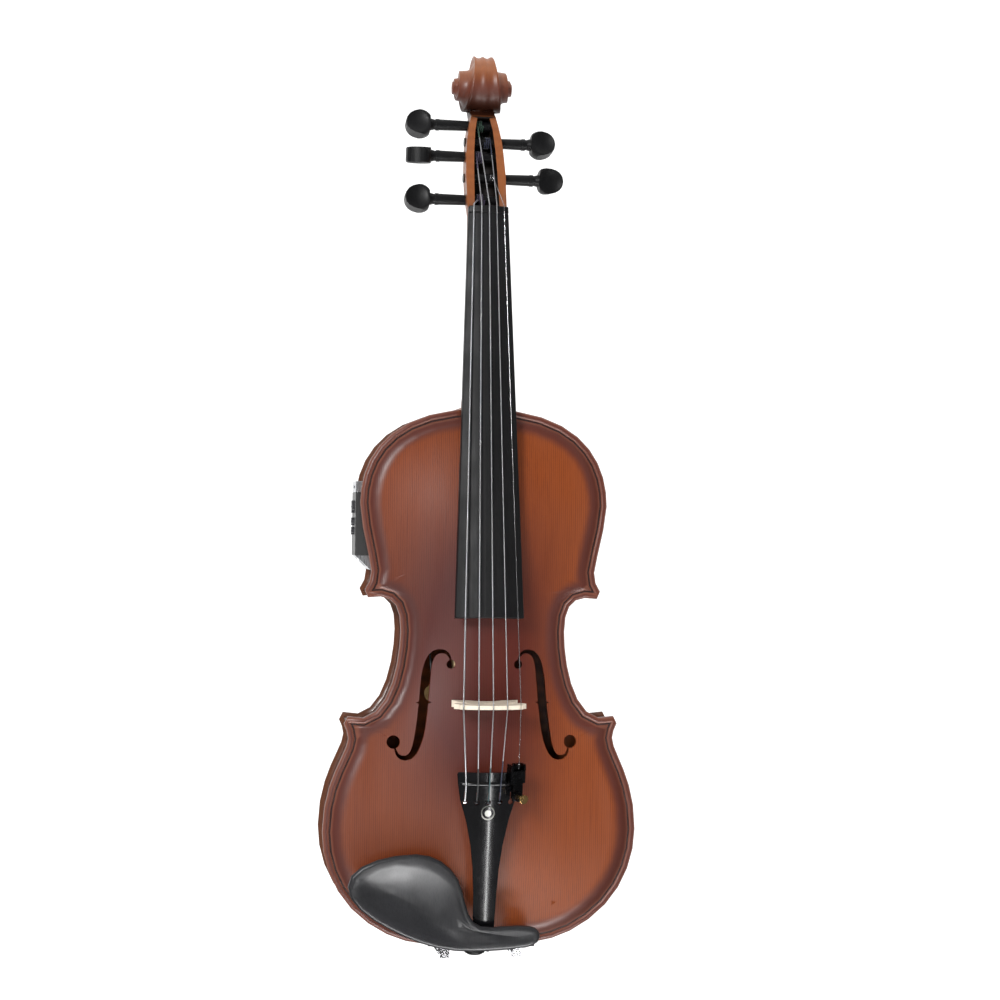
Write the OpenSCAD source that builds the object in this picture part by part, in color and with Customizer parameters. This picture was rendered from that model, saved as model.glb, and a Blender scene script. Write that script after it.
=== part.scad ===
// Five-string electric violin with an active preamp let into its upper bass rib.
// It stands upright: +Z runs up the neck, -Y is the front and +X the treble side.
// All shapes are laid out from the bottom edge of the body, on its centre line, with
// Y = 0 where the front meets the ribs, and then moved so that the origin is the
// hanging point just under the scroll.

/* [Body] */
// Length of the body along its centre line
body_len = 356; // [350:1:362]
// Greatest width of the upper bout
upper_w = 166; // [162:1:170]
// Width at the waist
waist_w = 110; // [107:1:114]
// Greatest width of the lower bout
lower_w = 210; // [206:1:214]
// Height of the ribs
rib_h = 31; // [29:0.5:33]
// Thickness of the ribs
rib_t = 1.2; // [1:0.1:1.5]
// How far the plates stand out beyond the ribs
overhang = 3; // [2.9:0.05:3.2]
// Thickness of the plates at the edge
edge_t = 4; // [3.7:0.1:4.4]
// Thickness of the plates in the middle
plate_t = 3; // [2.6:0.1:3.4]
// Height of the front's arch above the ribs
front_arch = 15.5; // [14:0.5:17]
// Height of the back's arch above the ribs
back_arch = 15; // [14:0.5:17]
// Distance from the edge to the purfling
purfling_in = 4; // [3.8:0.1:4.4]
// Width of the purfling
purfling_w = 1.2; // [1:0.1:1.4]
// Height of the bridge above the bottom edge of the body
bridge_z = 161; // [159:1:163]
// Width of the f-hole stems
f_hole_w = 6.2; // [5.4:0.2:7]

/* [Neck and head] */
// Distance from the top edge of the body to the nut
neck_stop = 130; // [127:1:133]
// Length of the fingerboard
board_len = 270; // [264:1:274]
// Width of the fingerboard at the nut
nut_w = 27; // [26:0.5:28]
// Width of the fingerboard at its lower end
board_w = 45.5; // [43:0.5:47]
// Thickness of the fingerboard at its sides
board_side = 5; // [4.5:0.25:5.5]
// Radius of the playing surface
crown_r = 42; // [41:1:46]
// Height of the fingerboard's underside above the top edge of the front
overstand = 6; // [5:0.5:7]
// Length of the nut along the neck
nut_len = 4.6; // [4:0.2:5.4]
// Thickness of the neck without the fingerboard
neck_t = 12.6; // [11.6:0.2:13.6]
// Distance from the nut to the eye of the scroll
eye_up = 90.5; // [89:0.5:92]
// Radius of the scroll at its top
scroll_r = 22.3; // [21.5:0.1:23]
// Half the width over the eyes of the scroll
eye_half = 20.3; // [19.5:0.1:21]
// Radius of the pegs where they pass the middle of the pegbox
peg_r = 3.25; // [3:0.05:3.5]

/* [Strings] */
// Distance between the outer strings at the nut
nut_spread = 20.4; // [19:0.2:21]
// Distance between the outer strings at the bridge
bridge_spread = 37.6; // [36:0.2:39]
// Height of the strings above the end of the fingerboard
string_rise = 4.5; // [4:0.1:5.5]
// Thickness of the five strings, lowest first
string_d = [1.1, 0.9, 0.8, 0.7, 0.4];
// Turns of each string on its peg
wind_turns = 3; // [2:1:3]

/* [Fittings] */
// Width of the bridge over its wings
bridge_w = 47.6; // [45:0.2:49]
// Length of the tailpiece
tail_len = 104; // [100:1:107]
// Height of the tailpiece's lower end above the bottom edge of the body
tail_end = 14; // [13:0.5:17]
// Width of the tailpiece at its upper end
tail_w = 41; // [39:0.5:42]
// Radius of the end button's head
button_r = 7; // [6.5:0.1:7.5]
// Length of the chin rest's clamp barrels
barrel_len = 22; // [20:1:24]
// Radius of the chin rest's clamp barrels
barrel_r = 2.8; // [2.5:0.1:3]
// How far the clamp foot can be let down
foot_travel = 5; // [3:0.5:6]
// Distance between the two clamp barrels
barrel_gap = 48; // [46:1:52]

/* [Preamp] */
// Distance from the top edge of the body to the lower end of the panel
panel_down = 108; // [106:0.5:109]
// Length of the panel
panel_len = 58.5; // [57:0.5:60]
// Width of the panel
panel_w = 22; // [20.5:0.5:23]
// Radius of the volume knob
volume_r = 4.2; // [3.8:0.1:4.6]
// Radius of the two tone knobs
tone_r = 2.6; // [2.3:0.1:2.8]
// Radius of the bore for a 6.35 mm plug
jack_r = 3.25; // [3.2:0.01:3.3]
// Diameter of the coin cell
cell_d = 16; // [15:0.5:16.5]
// How far the battery drawer slides out
drawer_travel = 18; // [14:1:18]

/* [Clearances] */
// Gap beside glued inlays and blocks
glue = 0.03; // [0.02:0.01:0.05]
// Radial clearance of pegs and screws in their bores
run = 0.05; // [0.04:0.01:0.08]
// Gap between pieces that rest on a curved face
seat = 0.3; // [0.2:0.05:0.4]

/* [Hidden] */
$fn = 48;

// Colours
SPRUCE = "#b5582a";
MAPLE = "#8a3f22";
BLACK = "#1b1b1d";
BOARD = "#303033";

// Main places: the nut, the bridge, the eye of the scroll and the hanging point
nut_z = body_len + neck_stop;
panel_z = body_len - panel_down;
eye = [35, nut_z + eye_up];
hang = [23.5, nut_z + 72];

// Curves in the plane
function dir(h) = [cos(h), sin(h)];
function unit(v) = v / norm(v);
function mix(a, b, t) = a + (b - a) * t;
function ease(t) = (1 - cos(180 * min(1, max(0, t)))) / 2;
function pt(k) = [k[0], k[1]];
// Cubic curve from knot p to knot q; a knot is [x, z, heading, handle in, handle out]
function span(p, q, n) =
    let (a = pt(p), b = a + p[4] * dir(p[2]), d = pt(q), c = d - q[3] * dir(q[2]))
    [for (i = [0 : n - 1]) let (t = i / n, u = 1 - t)
        u * u * u * a + 3 * u * u * t * b + 3 * u * t * t * c + t * t * t * d];
function chain(ks, ns) =
    concat([for (i = [0 : len(ns) - 1]) each span(ks[i], ks[i + 1], ns[i])],
        [pt(ks[len(ns)])]);
function closed_chain(ks, ns) =
    [for (i = [0 : len(ns) - 1]) each span(ks[i], ks[(i + 1) % len(ks)], ns[i])];
// Moves an open line to its right by e, and keeps points on the centre line there
function inset(p, e) =
    let (n = len(p) - 1)
    [for (i = [0 : n]) let (d = unit(p[min(n, i + 1)] - p[max(0, i - 1)]),
            q = p[i] + e * [d.y, -d.x]) [p[i].x == 0 ? 0 : q.x, q.y]];
function closed_inset(p, e) =
    let (n = len(p))
    [for (i = [0 : n - 1]) let (d = unit(p[(i + 1) % n] - p[(i + n - 1) % n]))
        p[i] + e * [d.y, -d.x]];
function resample(p, n) =
    [for (k = [0 : n]) let (f = k * (len(p) - 1) / n, i = min(len(p) - 2, floor(f)))
        mix(p[i], p[i + 1], f - i)];
function cross_at(p, q, r, s) =
    let (a = q - p, b = s - r, w = r - p, den = a.x * b.y - a.y * b.x)
    abs(den) < 1e-9 ? [] :
    let (t = (w.x * b.y - w.y * b.x) / den, u = (w.x * a.y - w.y * a.x) / den)
    (t >= 0 && t <= 1 && u >= 0 && u <= 1) ? [p + t * a] : [];
function meets(a, b) =
    [for (i = [0 : len(a) - 2], j = [0 : len(b) - 2])
        let (c = cross_at(a[i], a[i + 1], b[j], b[j + 1])) if (len(c) > 0) [i, j, c[0]]];
// Ends line a, and starts line b, just short of where the two cross
nib = 0.12;
function cut_end(a, m) = len(m) == 0 ? a :
    concat([for (i = [0 : m[0][0]]) a[i]],
        [m[0][2] + nib * unit(a[m[0][0]] - m[0][2])]);
function cut_start(b, m) = len(m) == 0 ? b :
    concat([m[0][2] + nib * unit(b[m[0][1] + 1] - m[0][2])],
        [for (j = [m[0][1] + 1 : len(b) - 1]) b[j]]);

// The outline of the treble half: upper bout, middle bout and lower bout
corner_up = [upper_w / 2 - 4.95, body_len - 123.5];
corner_low = [lower_w / 2 - 14.5, 149.2];
corner_cut = 5.5;
up_a = corner_up + corner_cut / 2 * dir(67);
up_b = corner_up - corner_cut / 2 * dir(67);
low_a = corner_low + corner_cut / 2 * dir(117);
low_b = corner_low - corner_cut / 2 * dir(117);
n_up = 14;
n_mid = 12;
n_low = 18;
upper_line = chain([[0, body_len, 0, 0, 67.5], [upper_w / 2, body_len - 64, -90, 28, 12],
    [up_a.x - 4.1, up_a.y + 12.5, -90, 5, 5.3], [up_a.x, up_a.y, -54, 4.8, 0]],
    [9, 3, 2]);
middle_line = chain([[up_b.x, up_b.y, 169.4, 0, 15.9], [waist_w / 2, body_len - 148, -90, 18.7, 22],
    [low_a.x, low_a.y, 20, 28, 0]], [5, 7]);
lower_line = chain([[low_b.x, low_b.y, -125, 0, 2.5], [low_b.x - 3, low_b.y - 9.6, -90, 2.3, 9.8],
    [lower_w / 2, 76, -90, 34.7, 22], [lower_w / 2 - 31, 15.8, 215, 26, 26],
    [0, 0, 180, 36, 0]], [2, 6, 5, 5]);
function runs(e) =
    let (u = inset(upper_line, e), c = inset(middle_line, e), l = inset(lower_line, e),
        m = meets(u, c), k = meets(c, l), c2 = cut_end(c, k))
    [resample(cut_end(u, m), n_up), resample(cut_start(c2, m), n_mid),
        resample(cut_start(l, k), n_low)];
function flip(p) = [for (q = p) [-q.x, q.y]];
function back_order(p) = [for (i = [len(p) - 1 : -1 : 0]) p[i]];
function half_ring(e) = let (r = runs(e)) concat(r[0], r[1], r[2]);
function ring(e) = let (h = half_ring(e), n = len(h))
    concat(h, [for (i = [n - 2 : -1 : 1]) [-h[i].x, h[i].y]]);
half_n = n_up + n_mid + n_low + 3;
ring_n = 2 * half_n - 2;

// Height of a plate above the ribs at a place on it
flute = edge_t - 0.4;
function reach(z) =
    let (lo = lower_w / 2 - 5, wa = waist_w / 2 - 5, up = upper_w / 2 - 5,
        zl = 75, zw = body_len - 154, zu = body_len - 64)
    z < zl ? lo * sqrt(max(0.0004, 1 - pow((zl - z) / (zl - 4), 2))) :
    z < zw ? mix(lo, wa, ease((z - zl) / (zw - zl))) :
    z < zu ? mix(wa, up, ease((z - zw) / (zu - zw))) :
    up * sqrt(max(0.0004, 1 - pow((z - zu) / (body_len - 4 - zu), 2)));
function swell(x, z, arch) =
    let (v = min(1, abs(z - body_len / 2) / (body_len / 2 - 5)))
    flute + (arch - flute) * ease(1 - abs(x) / reach(z)) * ease(1 - pow(v, 3));
function front_y(x, z) = -swell(x, z, front_arch);
function back_y(x, z) = rib_h + swell(x, z, back_arch);

module to_frame() { translate([0, -hang[0], -hang[1]]) children(); }
// A shape in the X-Z plane made solid between y0 and y1
module slab(p, y0, y1) {
    translate([0, y1, 0]) rotate([90, 0, 0]) linear_extrude(y1 - y0) polygon(p);
}
// A shape in the Y-Z plane made solid between x0 and x1
module web(p, x0, x1) {
    translate([x0, 0, 0]) rotate([90, 0, 90]) linear_extrude(x1 - x0) polygon(p);
}
module block(x0, x1, y0, y1, z0, z1) {
    translate([x0, y0, z0]) cube([x1 - x0, y1 - y0, z1 - z0]);
}
module rod_y(x, z, y0, y1, r) {
    translate([x, y1, z]) rotate([90, 0, 0]) cylinder(r = r, h = y1 - y0);
}

// Faces of a grid of rings, each with n points; turned = true reverses them
function tri(a, b, c, turned) = turned ? [a, c, b] : [a, b, c];
function quad(a, b, c, d, turned) = [tri(a, b, c, turned), tri(a, c, d, turned)];
function tube_faces(rings, n) = concat(
    [for (r = [0 : rings - 2], j = [0 : n - 1])
        each quad(r * n + j, r * n + (j + 1) % n, (r + 1) * n + (j + 1) % n,
            (r + 1) * n + j, false)],
    [[for (j = [n - 1 : -1 : 0]) j], [for (j = [0 : n - 1]) (rings - 1) * n + j]]);

// The arched plate, its edge rounded, fluted and grooved for the purfling, hollow within
spine_top = body_len - 48;
spine = concat([for (i = [0 : n_up]) mix(spine_top, body_len - 95, i / n_up)],
    [for (i = [0 : n_mid]) mix(body_len - 99, 126, i / n_mid)],
    [for (i = [0 : n_low]) mix(121, 62, i / n_low)]);
groove_in = purfling_in + purfling_w;
rim_rows = [[0, 0], [0, edge_t - 1.7], [0.9, edge_t - 0.35], [2.3, edge_t],
    [purfling_in, flute], [purfling_in, flute - 1.3], [groove_in, flute - 1.3],
    [groove_in, flute]];
out_steps = [0.12, 0.28, 0.46, 0.64, 0.82];
in_steps = [0.2, 0.45, 0.72];
function toward(e, s, side) =
    let (h = half_ring(e)) [for (i = [0 : ring_n - 1])
        let (k = i < half_n ? i : ring_n - i, g = i < half_n ? 1 : -1,
            q = mix([h[k].x * g, h[k].y], [0, spine[k]], s)) q];
module arched_plate(arch) {
    outer = [for (r = rim_rows) [for (q = ring(r[0])) [q.x, -r[1], q.y]]];
    crown = [for (s = out_steps) [for (q = toward(groove_in, s))
        [q.x, -swell(q.x, q.y, arch), q.y]]];
    lip = [for (q = ring(overhang + rib_t + 3)) [q.x, 0, q.y]];
    vault = [for (s = in_steps) [for (q = toward(overhang + rib_t + 3, s))
        [q.x, -max(0.4, swell(q.x, q.y, arch) - plate_t), q.y]]];
    top_line = [for (z = spine) [0, -swell(0, z, arch), z]];
    low_line = [for (z = spine) [0, -(swell(0, z, arch) - plate_t), z]];
    rows = concat(outer, crown);
    inner_rows = concat([lip], vault);
    n_rows = len(rows);
    a = n_rows * ring_n;
    b = a + half_n;
    c = b + len(inner_rows) * ring_n;
    faces_out = [for (r = [0 : n_rows - 2], j = [0 : ring_n - 1])
        each quad(r * ring_n + j, r * ring_n + (j + 1) % ring_n,
            (r + 1) * ring_n + (j + 1) % ring_n, (r + 1) * ring_n + j, false)];
    faces_top = [for (j = [0 : ring_n - 1])
        let (j2 = (j + 1) % ring_n, k = j < half_n ? j : ring_n - j,
            k2 = j2 < half_n ? j2 : ring_n - j2, o = (n_rows - 1) * ring_n)
        each quad(o + j, o + j2, a + k2, a + k, false)];
    faces_glue = [for (j = [0 : ring_n - 1])
        each quad(j, (j + 1) % ring_n, b + (j + 1) % ring_n, b + j, true)];
    faces_in = [for (r = [0 : len(inner_rows) - 2], j = [0 : ring_n - 1])
        each quad(b + r * ring_n + j, b + r * ring_n + (j + 1) % ring_n,
            b + (r + 1) * ring_n + (j + 1) % ring_n, b + (r + 1) * ring_n + j, true)];
    faces_low = [for (j = [0 : ring_n - 1])
        let (j2 = (j + 1) % ring_n, k = j < half_n ? j : ring_n - j,
            k2 = j2 < half_n ? j2 : ring_n - j2, o = b + (len(inner_rows) - 1) * ring_n)
        each quad(o + j, o + j2, c + k2, c + k, true)];
    polyhedron(points = concat([for (r = rows) each r], top_line,
            [for (r = inner_rows) each r], low_line),
        faces = concat(faces_out, faces_top, faces_glue, faces_in, faces_low),
        convexity = 8);
}

// The f-holes: a curved stem of changing width with a round eye at each end
fz = bridge_z;
f_line = chain([[22.4, fz + 27.2, 80, 0, 5], [30, fz + 34, -8, 5, 9],
    [39.9, fz - 1, -84, 17, 15], [51.2, fz - 36.4, -4, 8, 5],
    [58.2, fz - 29.6, 80, 4, 0]], [4, 8, 8, 4]);
f_half = [[0, 0.5], [4, 1.5], [9, f_hole_w / 2], [15, f_hole_w / 2], [20, 1.7], [24, 0.5]];
f_eyes = [[22.4, fz + 25.6, 2.9], [59.3, fz - 26, 4.4]];
function f_outline() =
    let (n = len(f_line) - 1, d = [for (i = [0 : n])
            unit(f_line[min(n, i + 1)] - f_line[max(0, i - 1)])])
    concat([for (i = [0 : n]) f_line[i] + lookup(i, f_half) * [d[i].y, -d[i].x]],
        [for (i = [n : -1 : 0]) f_line[i] - lookup(i, f_half) * [d[i].y, -d[i].x]]);
module f_hole(g) {
    p = f_outline();
    slab(g > 0 ? p : back_order(flip(p)), -20, -1);
    for (e = f_eyes) rod_y(g * e[0], e[1], -20, -1, e[2]);
    notch = [[39.7 + 5.2, fz], [39.7 - 5.2, fz + 0.4], [39.8, fz + 2.2]];
    notch_low = [[39.7 + 5.2, fz], [39.8, fz - 1.9], [39.7 - 5.2, fz + 0.4]];
    slab(g > 0 ? notch : flip(notch), -20, -1);
    slab(g > 0 ? notch_low : flip(notch_low), -20, -1);
}

// Where the root of the neck enters the body
root_w = 33;
root_in = 6.5;
button_w = 21;
module root_room(c, y1) {
    slab([[-root_w / 2 - c, body_len - root_in - c], [root_w / 2 + c, body_len - root_in - c],
        [root_w / 2 + c, body_len + 20], [-root_w / 2 - c, body_len + 20]], -30, y1);
}
saddle_w = 34;
saddle_in = 7;

module top_plate() to_frame() color(SPRUCE) difference() {
    arched_plate(front_arch);
    f_hole(1);
    f_hole(-1);
    root_room(glue, 5);
    block(-saddle_w / 2 - glue, saddle_w / 2 + glue, -30, 5, -5, saddle_in + glue);
}

module purfling_ring() {
    difference() {
        slab(ring(purfling_in + glue), -flute, -flute + 1.27);
        slab(ring(groove_in - glue), -flute - 1, -flute + 2);
    }
}
module top_purfling() to_frame() color("#2a1712") difference() {
    purfling_ring();
    root_room(glue, 5);
    block(-saddle_w / 2 - glue, saddle_w / 2 + glue, -30, 5, -5, saddle_in + glue);
}

module back_plate() to_frame() color(MAPLE) union() {
    translate([0, rib_h, 0]) mirror([0, 1, 0]) arched_plate(back_arch);
    difference() {
        rod_y(0, body_len + 2.5, rib_h, rib_h + edge_t - 0.4, button_w / 2);
        block(-20, 20, rib_h - 1, rib_h + edge_t + 1, body_len - 20, body_len - 0.6);
    }
}
module back_purfling() to_frame() color("#2a1712")
    translate([0, rib_h, 0]) mirror([0, 1, 0]) purfling_ring();

// The ribs
function rib_shape(k, g) =
    let (p = concat(runs(overhang)[k], back_order(runs(overhang + rib_t)[k])))
    g > 0 ? p : flip(p);
rib_end = root_w / 2 + glue;
// The opening for the preamp is this much smaller all round than its panel
cut_in = 1;
panel_y = rib_h / 2 - panel_w / 2;
module rib_upper_treble() to_frame() color(MAPLE) difference() {
    slab(rib_shape(0, 1), 0, rib_h);
    block(-1, rib_end, -1, rib_h + 1, body_len - 20, body_len + 1);
}
module rib_upper_bass() to_frame() color(MAPLE) difference() {
    slab(rib_shape(0, -1), 0, rib_h);
    block(-rib_end, 1, -1, rib_h + 1, body_len - 20, body_len + 1);
    block(face_x - 12, 3 - upper_w * 3 / 8, panel_y + cut_in, panel_y + panel_w - cut_in,
        panel_z + cut_in, panel_z + panel_len - cut_in);
}
module rib_middle_treble() to_frame() color(MAPLE) slab(rib_shape(1, 1), 0, rib_h);
module rib_middle_bass() to_frame() color(MAPLE) slab(rib_shape(1, -1), 0, rib_h);
module rib_lower() to_frame() color(MAPLE) difference() {
    union() {
        slab(rib_shape(2, 1), 0, rib_h);
        slab(rib_shape(2, -1), 0, rib_h);
    }
    translate([0, rib_h / 2, -5]) cylinder(r = stem_r + run, h = 20);
}

// Blocks and linings inside the ribs
in_e = overhang + rib_t + glue;
lining_t = 2;
lining_h = 7;
up_cut = [[22, -17], [22, 13], [-5, 13], [-20, -6], [-18, -17]];
low_cut = [[20, -21], [-12, -21], [-28, 11], [-15, 16], [20, 16]];
function about(c, p, g) = [for (q = p) [g * (c.x + q.x), c.y + q.y]];
module corner_block(c, p, g) intersection() {
    slab(ring(in_e), 0, rib_h);
    slab(about(c, p, g), 0, rib_h);
}
module corner_blocks() to_frame() color("#d9b98a") for (g = [1, -1]) {
    corner_block(corner_up, up_cut, g);
    corner_block(corner_low, low_cut, g);
}
function lining_shape(k, a, b, g) =
    let (o = runs(in_e)[k], i = runs(in_e + lining_t)[k],
        p = concat([for (j = [a : b]) o[j]], [for (j = [b : -1 : a]) i[j]]))
    g > 0 ? p : flip(p);
module linings() to_frame() color("#d9b98a") difference() {
    for (g = [1, -1], y = [0, rib_h - lining_h]) {
        slab(lining_shape(0, 1, n_up - 4, g), y, y + lining_h);
        slab(lining_shape(1, 4, n_mid - 4, g), y, y + lining_h);
        slab(lining_shape(2, 4, n_low - 2, g), y, y + lining_h);
    }
    block(-26.5, 26.5, -1, rib_h + 1, body_len - 40, body_len);
    block(-100, -50, panel_y - 1, panel_y + panel_w + 1, panel_z - 1, panel_z + panel_len + 2);
}
module top_block() to_frame() color("#d9b98a") difference() {
    intersection() {
        slab(ring(in_e), 0, rib_h);
        block(-26, 26, 0, rib_h, body_len - in_e - 18, body_len);
    }
    root_room(glue, rib_h + 1);
}
end_in = in_e + 15;
module end_block() to_frame() color("#d9b98a") difference() {
    intersection() {
        slab(ring(in_e), 0, rib_h);
        block(-20, 20, 0, rib_h, -1, end_in);
    }
    translate([0, rib_h / 2, -5]) cylinder(r = stem_r + run, h = 30);
}

// The bass bar and the sound post
bar_x = -20;
bar_w = 5.5;
module bass_bar() to_frame() color("#dcbf92") {
    z0 = 56;
    z1 = body_len - 32;
    zs = [for (i = [0 : 12]) mix(z0, z1, i / 12)];
    web(concat(
        [for (z = zs) [front_y(bar_x, z) + plate_t + 0.5, z]],
        [for (i = [12 : -1 : 0]) let (z = zs[i])
            [front_y(bar_x, z) + plate_t + 0.5 + 3 + 8 * sin(180 * i / 12), z]]),
        bar_x, bar_x + bar_w);
}
post_x = 20;
post_r = 3.1;
module sound_post() to_frame() color("#e6cfa6") {
    z = bridge_z - 8;
    xs = [-4, 0, 4];
    intersection() {
        rod_y(post_x, z, -front_arch, rib_h + back_arch, post_r);
        translate([0, 0, z - 5]) linear_extrude(10) polygon(concat(
            [for (x = xs) [post_x + x, front_y(post_x + x, z) + plate_t + 0.6]],
            [for (x = back_order(xs)) [post_x + x, back_y(post_x + x, z) - plate_t - 0.6]]));
    }
}

// The neck slopes back from the body; heights u run along it from the nut, v out of its face
glue_y = -edge_t - overstand;
neck_tilt = 5.71;
nut_y = glue_y + neck_stop * tan(neck_tilt);
function plane_y(z) = glue_y + (z - body_len) * tan(neck_tilt);
module at_neck() { translate([0, nut_y, nut_z]) rotate([-neck_tilt, 0, 0]) children(); }
function sag(x, r) = r - sqrt(r * r - x * x);
nut_thick = board_side + sag(nut_w / 2, crown_r);
end_thick = board_side + sag(board_w / 2, crown_r);
crown_tilt = atan((end_thick - nut_thick) / board_len);
module crown_rod(up) {
    translate([0, crown_r - nut_thick - up, 0]) rotate([-crown_tilt, 0, 0])
        translate([0, 0, -board_len - 20]) cylinder(r = crown_r, h = board_len + 40, $fn = 96);
}
module fingerboard() to_frame() color(BOARD) at_neck() difference() {
    intersection() {
        slab([[-nut_w / 2, 0], [nut_w / 2, 0], [board_w / 2, -board_len],
            [-board_w / 2, -board_len]], -20, -0.02);
        crown_rod(0);
    }
    translate([0, 29, -board_len - 1]) rotate([1.2, 0, 0])
        cylinder(r = 33, h = board_len - neck_stop - 6);
}
module nut() to_frame() color(BLACK) at_neck() intersection() {
    slab([[-nut_w / 2, glue], [nut_w / 2, glue], [nut_w / 2 - 0.2, nut_len],
        [-nut_w / 2 + 0.2, nut_len]], -20, 0);
    crown_rod(0.6);
}

// Neck, pegbox and scroll: stations of the loft as
// [height, front face, depth, width, squareness]
head_z = nut_z;
rim_tilt = 0.327;
function rim_y(z) = nut_y + 1.2 + (z - nut_z - 5) * rim_tilt;
heel_back = rib_h - 0.02;
stations = [
    [body_len + 0.02, plane_y(body_len), heel_back - plane_y(body_len), root_w - 0.4, 2.6],
    [body_len + 5, plane_y(body_len + 5), heel_back - plane_y(body_len + 5), root_w - 0.6, 2.4],
    [body_len + 9.5, plane_y(body_len + 9.5), 34, root_w - 0.8, 2.3],
    [body_len + 14, plane_y(body_len + 14), 26, root_w - 1, 2.2],
    [body_len + 20, plane_y(body_len + 20), 19.5, root_w - 1.3, 2.1],
    [body_len + 28, plane_y(body_len + 28), 15.8, root_w - 1.7, 2],
    [body_len + 42, plane_y(body_len + 42), neck_t + 1.4, root_w - 2.3, 2],
    [nut_z - 50, plane_y(nut_z - 50), neck_t + 0.6, nut_w + 2.6, 2],
    [nut_z - 22, plane_y(nut_z - 22), neck_t, nut_w + 1.3, 2],
    [nut_z - 9, plane_y(nut_z - 9), neck_t + 0.7, nut_w + 0.5, 2.1],
    [nut_z - 2, plane_y(nut_z - 2), neck_t + 3.4, nut_w, 2.4],
    [nut_z + 3, plane_y(nut_z + 3), neck_t + 8.4, nut_w - 0.2, 3],
    [nut_z + nut_len + 1.1, rim_y(nut_z + nut_len + 1.1), 21.8, nut_w - 0.4, 3.6],
    [nut_z + 14, rim_y(nut_z + 14), 24.2, nut_w - 0.3, 4.6],
    [nut_z + 29, rim_y(nut_z + 29), 24.2, nut_w, 5],
    [nut_z + 44, rim_y(nut_z + 44), 23.6, nut_w - 1.6, 5],
    [nut_z + 55, rim_y(nut_z + 55), 23.2, nut_w - 3.9, 5],
    [nut_z + 63, rim_y(nut_z + 63), 23.6, nut_w - 6.9, 5],
    [nut_z + 70, rim_y(nut_z + 70) + 0.3, 24.4, nut_w - 10, 5],
    [nut_z + 74, rim_y(nut_z + 74) + 4, 22.4, nut_w - 11, 4.6],
    [nut_z + 79, rim_y(nut_z + 79) + 8, 19.6, nut_w - 11.6, 4]];
section_n = 16;
function section(s) = [for (i = [section_n : -1 : 0]) let (a = 180 * i / section_n,
        c = cos(a), q = sin(a), m = 2 / s[4])
    [sign(c) * s[3] / 2 * pow(abs(c), m), s[1] + s[2] * pow(max(0, q), m), s[0]]];
function width_at(z) = lookup(z, [for (s = stations) [s[0], s[3]]]);
module neck_loft() {
    polyhedron(points = [for (s = stations) each section(s)],
        faces = tube_faces(len(stations), section_n + 1), convexity = 6);
}

// The scroll is one spiral of t degrees; it starts at the back of the pegbox, runs over
// the top and down the front, and winds inward while each turn stands out further
step = 10;
turn = 360 / step;
t_end = 980;
t_n = t_end / step;
t_start = -80;
eye_r = 4.3;
function vol_r(t) = t < 170 ? scroll_r + 0.5 * (170 - t) / 170 :
    1 + (scroll_r - 1) * exp(-0.00191 * (t - 170));
vol_w = [[0, 7.4], [60, 7.2], [120, 6.5], [170, 6.1], [215, 7], [260, 9], [300, 11],
    [335, 12.4], [380, 13.3], [440, 14.3], [530, 15.8], [710, 17.7], [890, 19.1], [980, 19.5]];
function vol_half(t) = lookup(t, vol_w) * eye_half / 20.3;
function inner_r(t) = t + 360 <= t_end ? vol_r(t + 360) : eye_r;
function inner_w(t) = t + 360 <= t_end ? vol_half(t + 360) : eye_half;
function at_spiral(x, r, t) = [x, eye[0] + r * cos(t_start + t), eye[1] + r * sin(t_start + t)];
// Side of one turn: chamfered edge, hollow channel and the foot of the next wall
function channel(t) =
    let (r = vol_r(t), w = vol_half(t), q = inner_r(t), d = inner_w(t) - w, g = r - q,
        k = 0.3 + 0.7 * ease(t / 150))
    [[r, w], [r - min(1.5, 0.3 * g), w + 0.25], [q + 0.66 * g, w - 0.5 * k],
        [q + 0.4 * g, w + 0.02 * d * k], [q + 0.16 * g, w + 0.2 * d * k], [q + 0.06 * g, w + 0.4 * d * k]];
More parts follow.
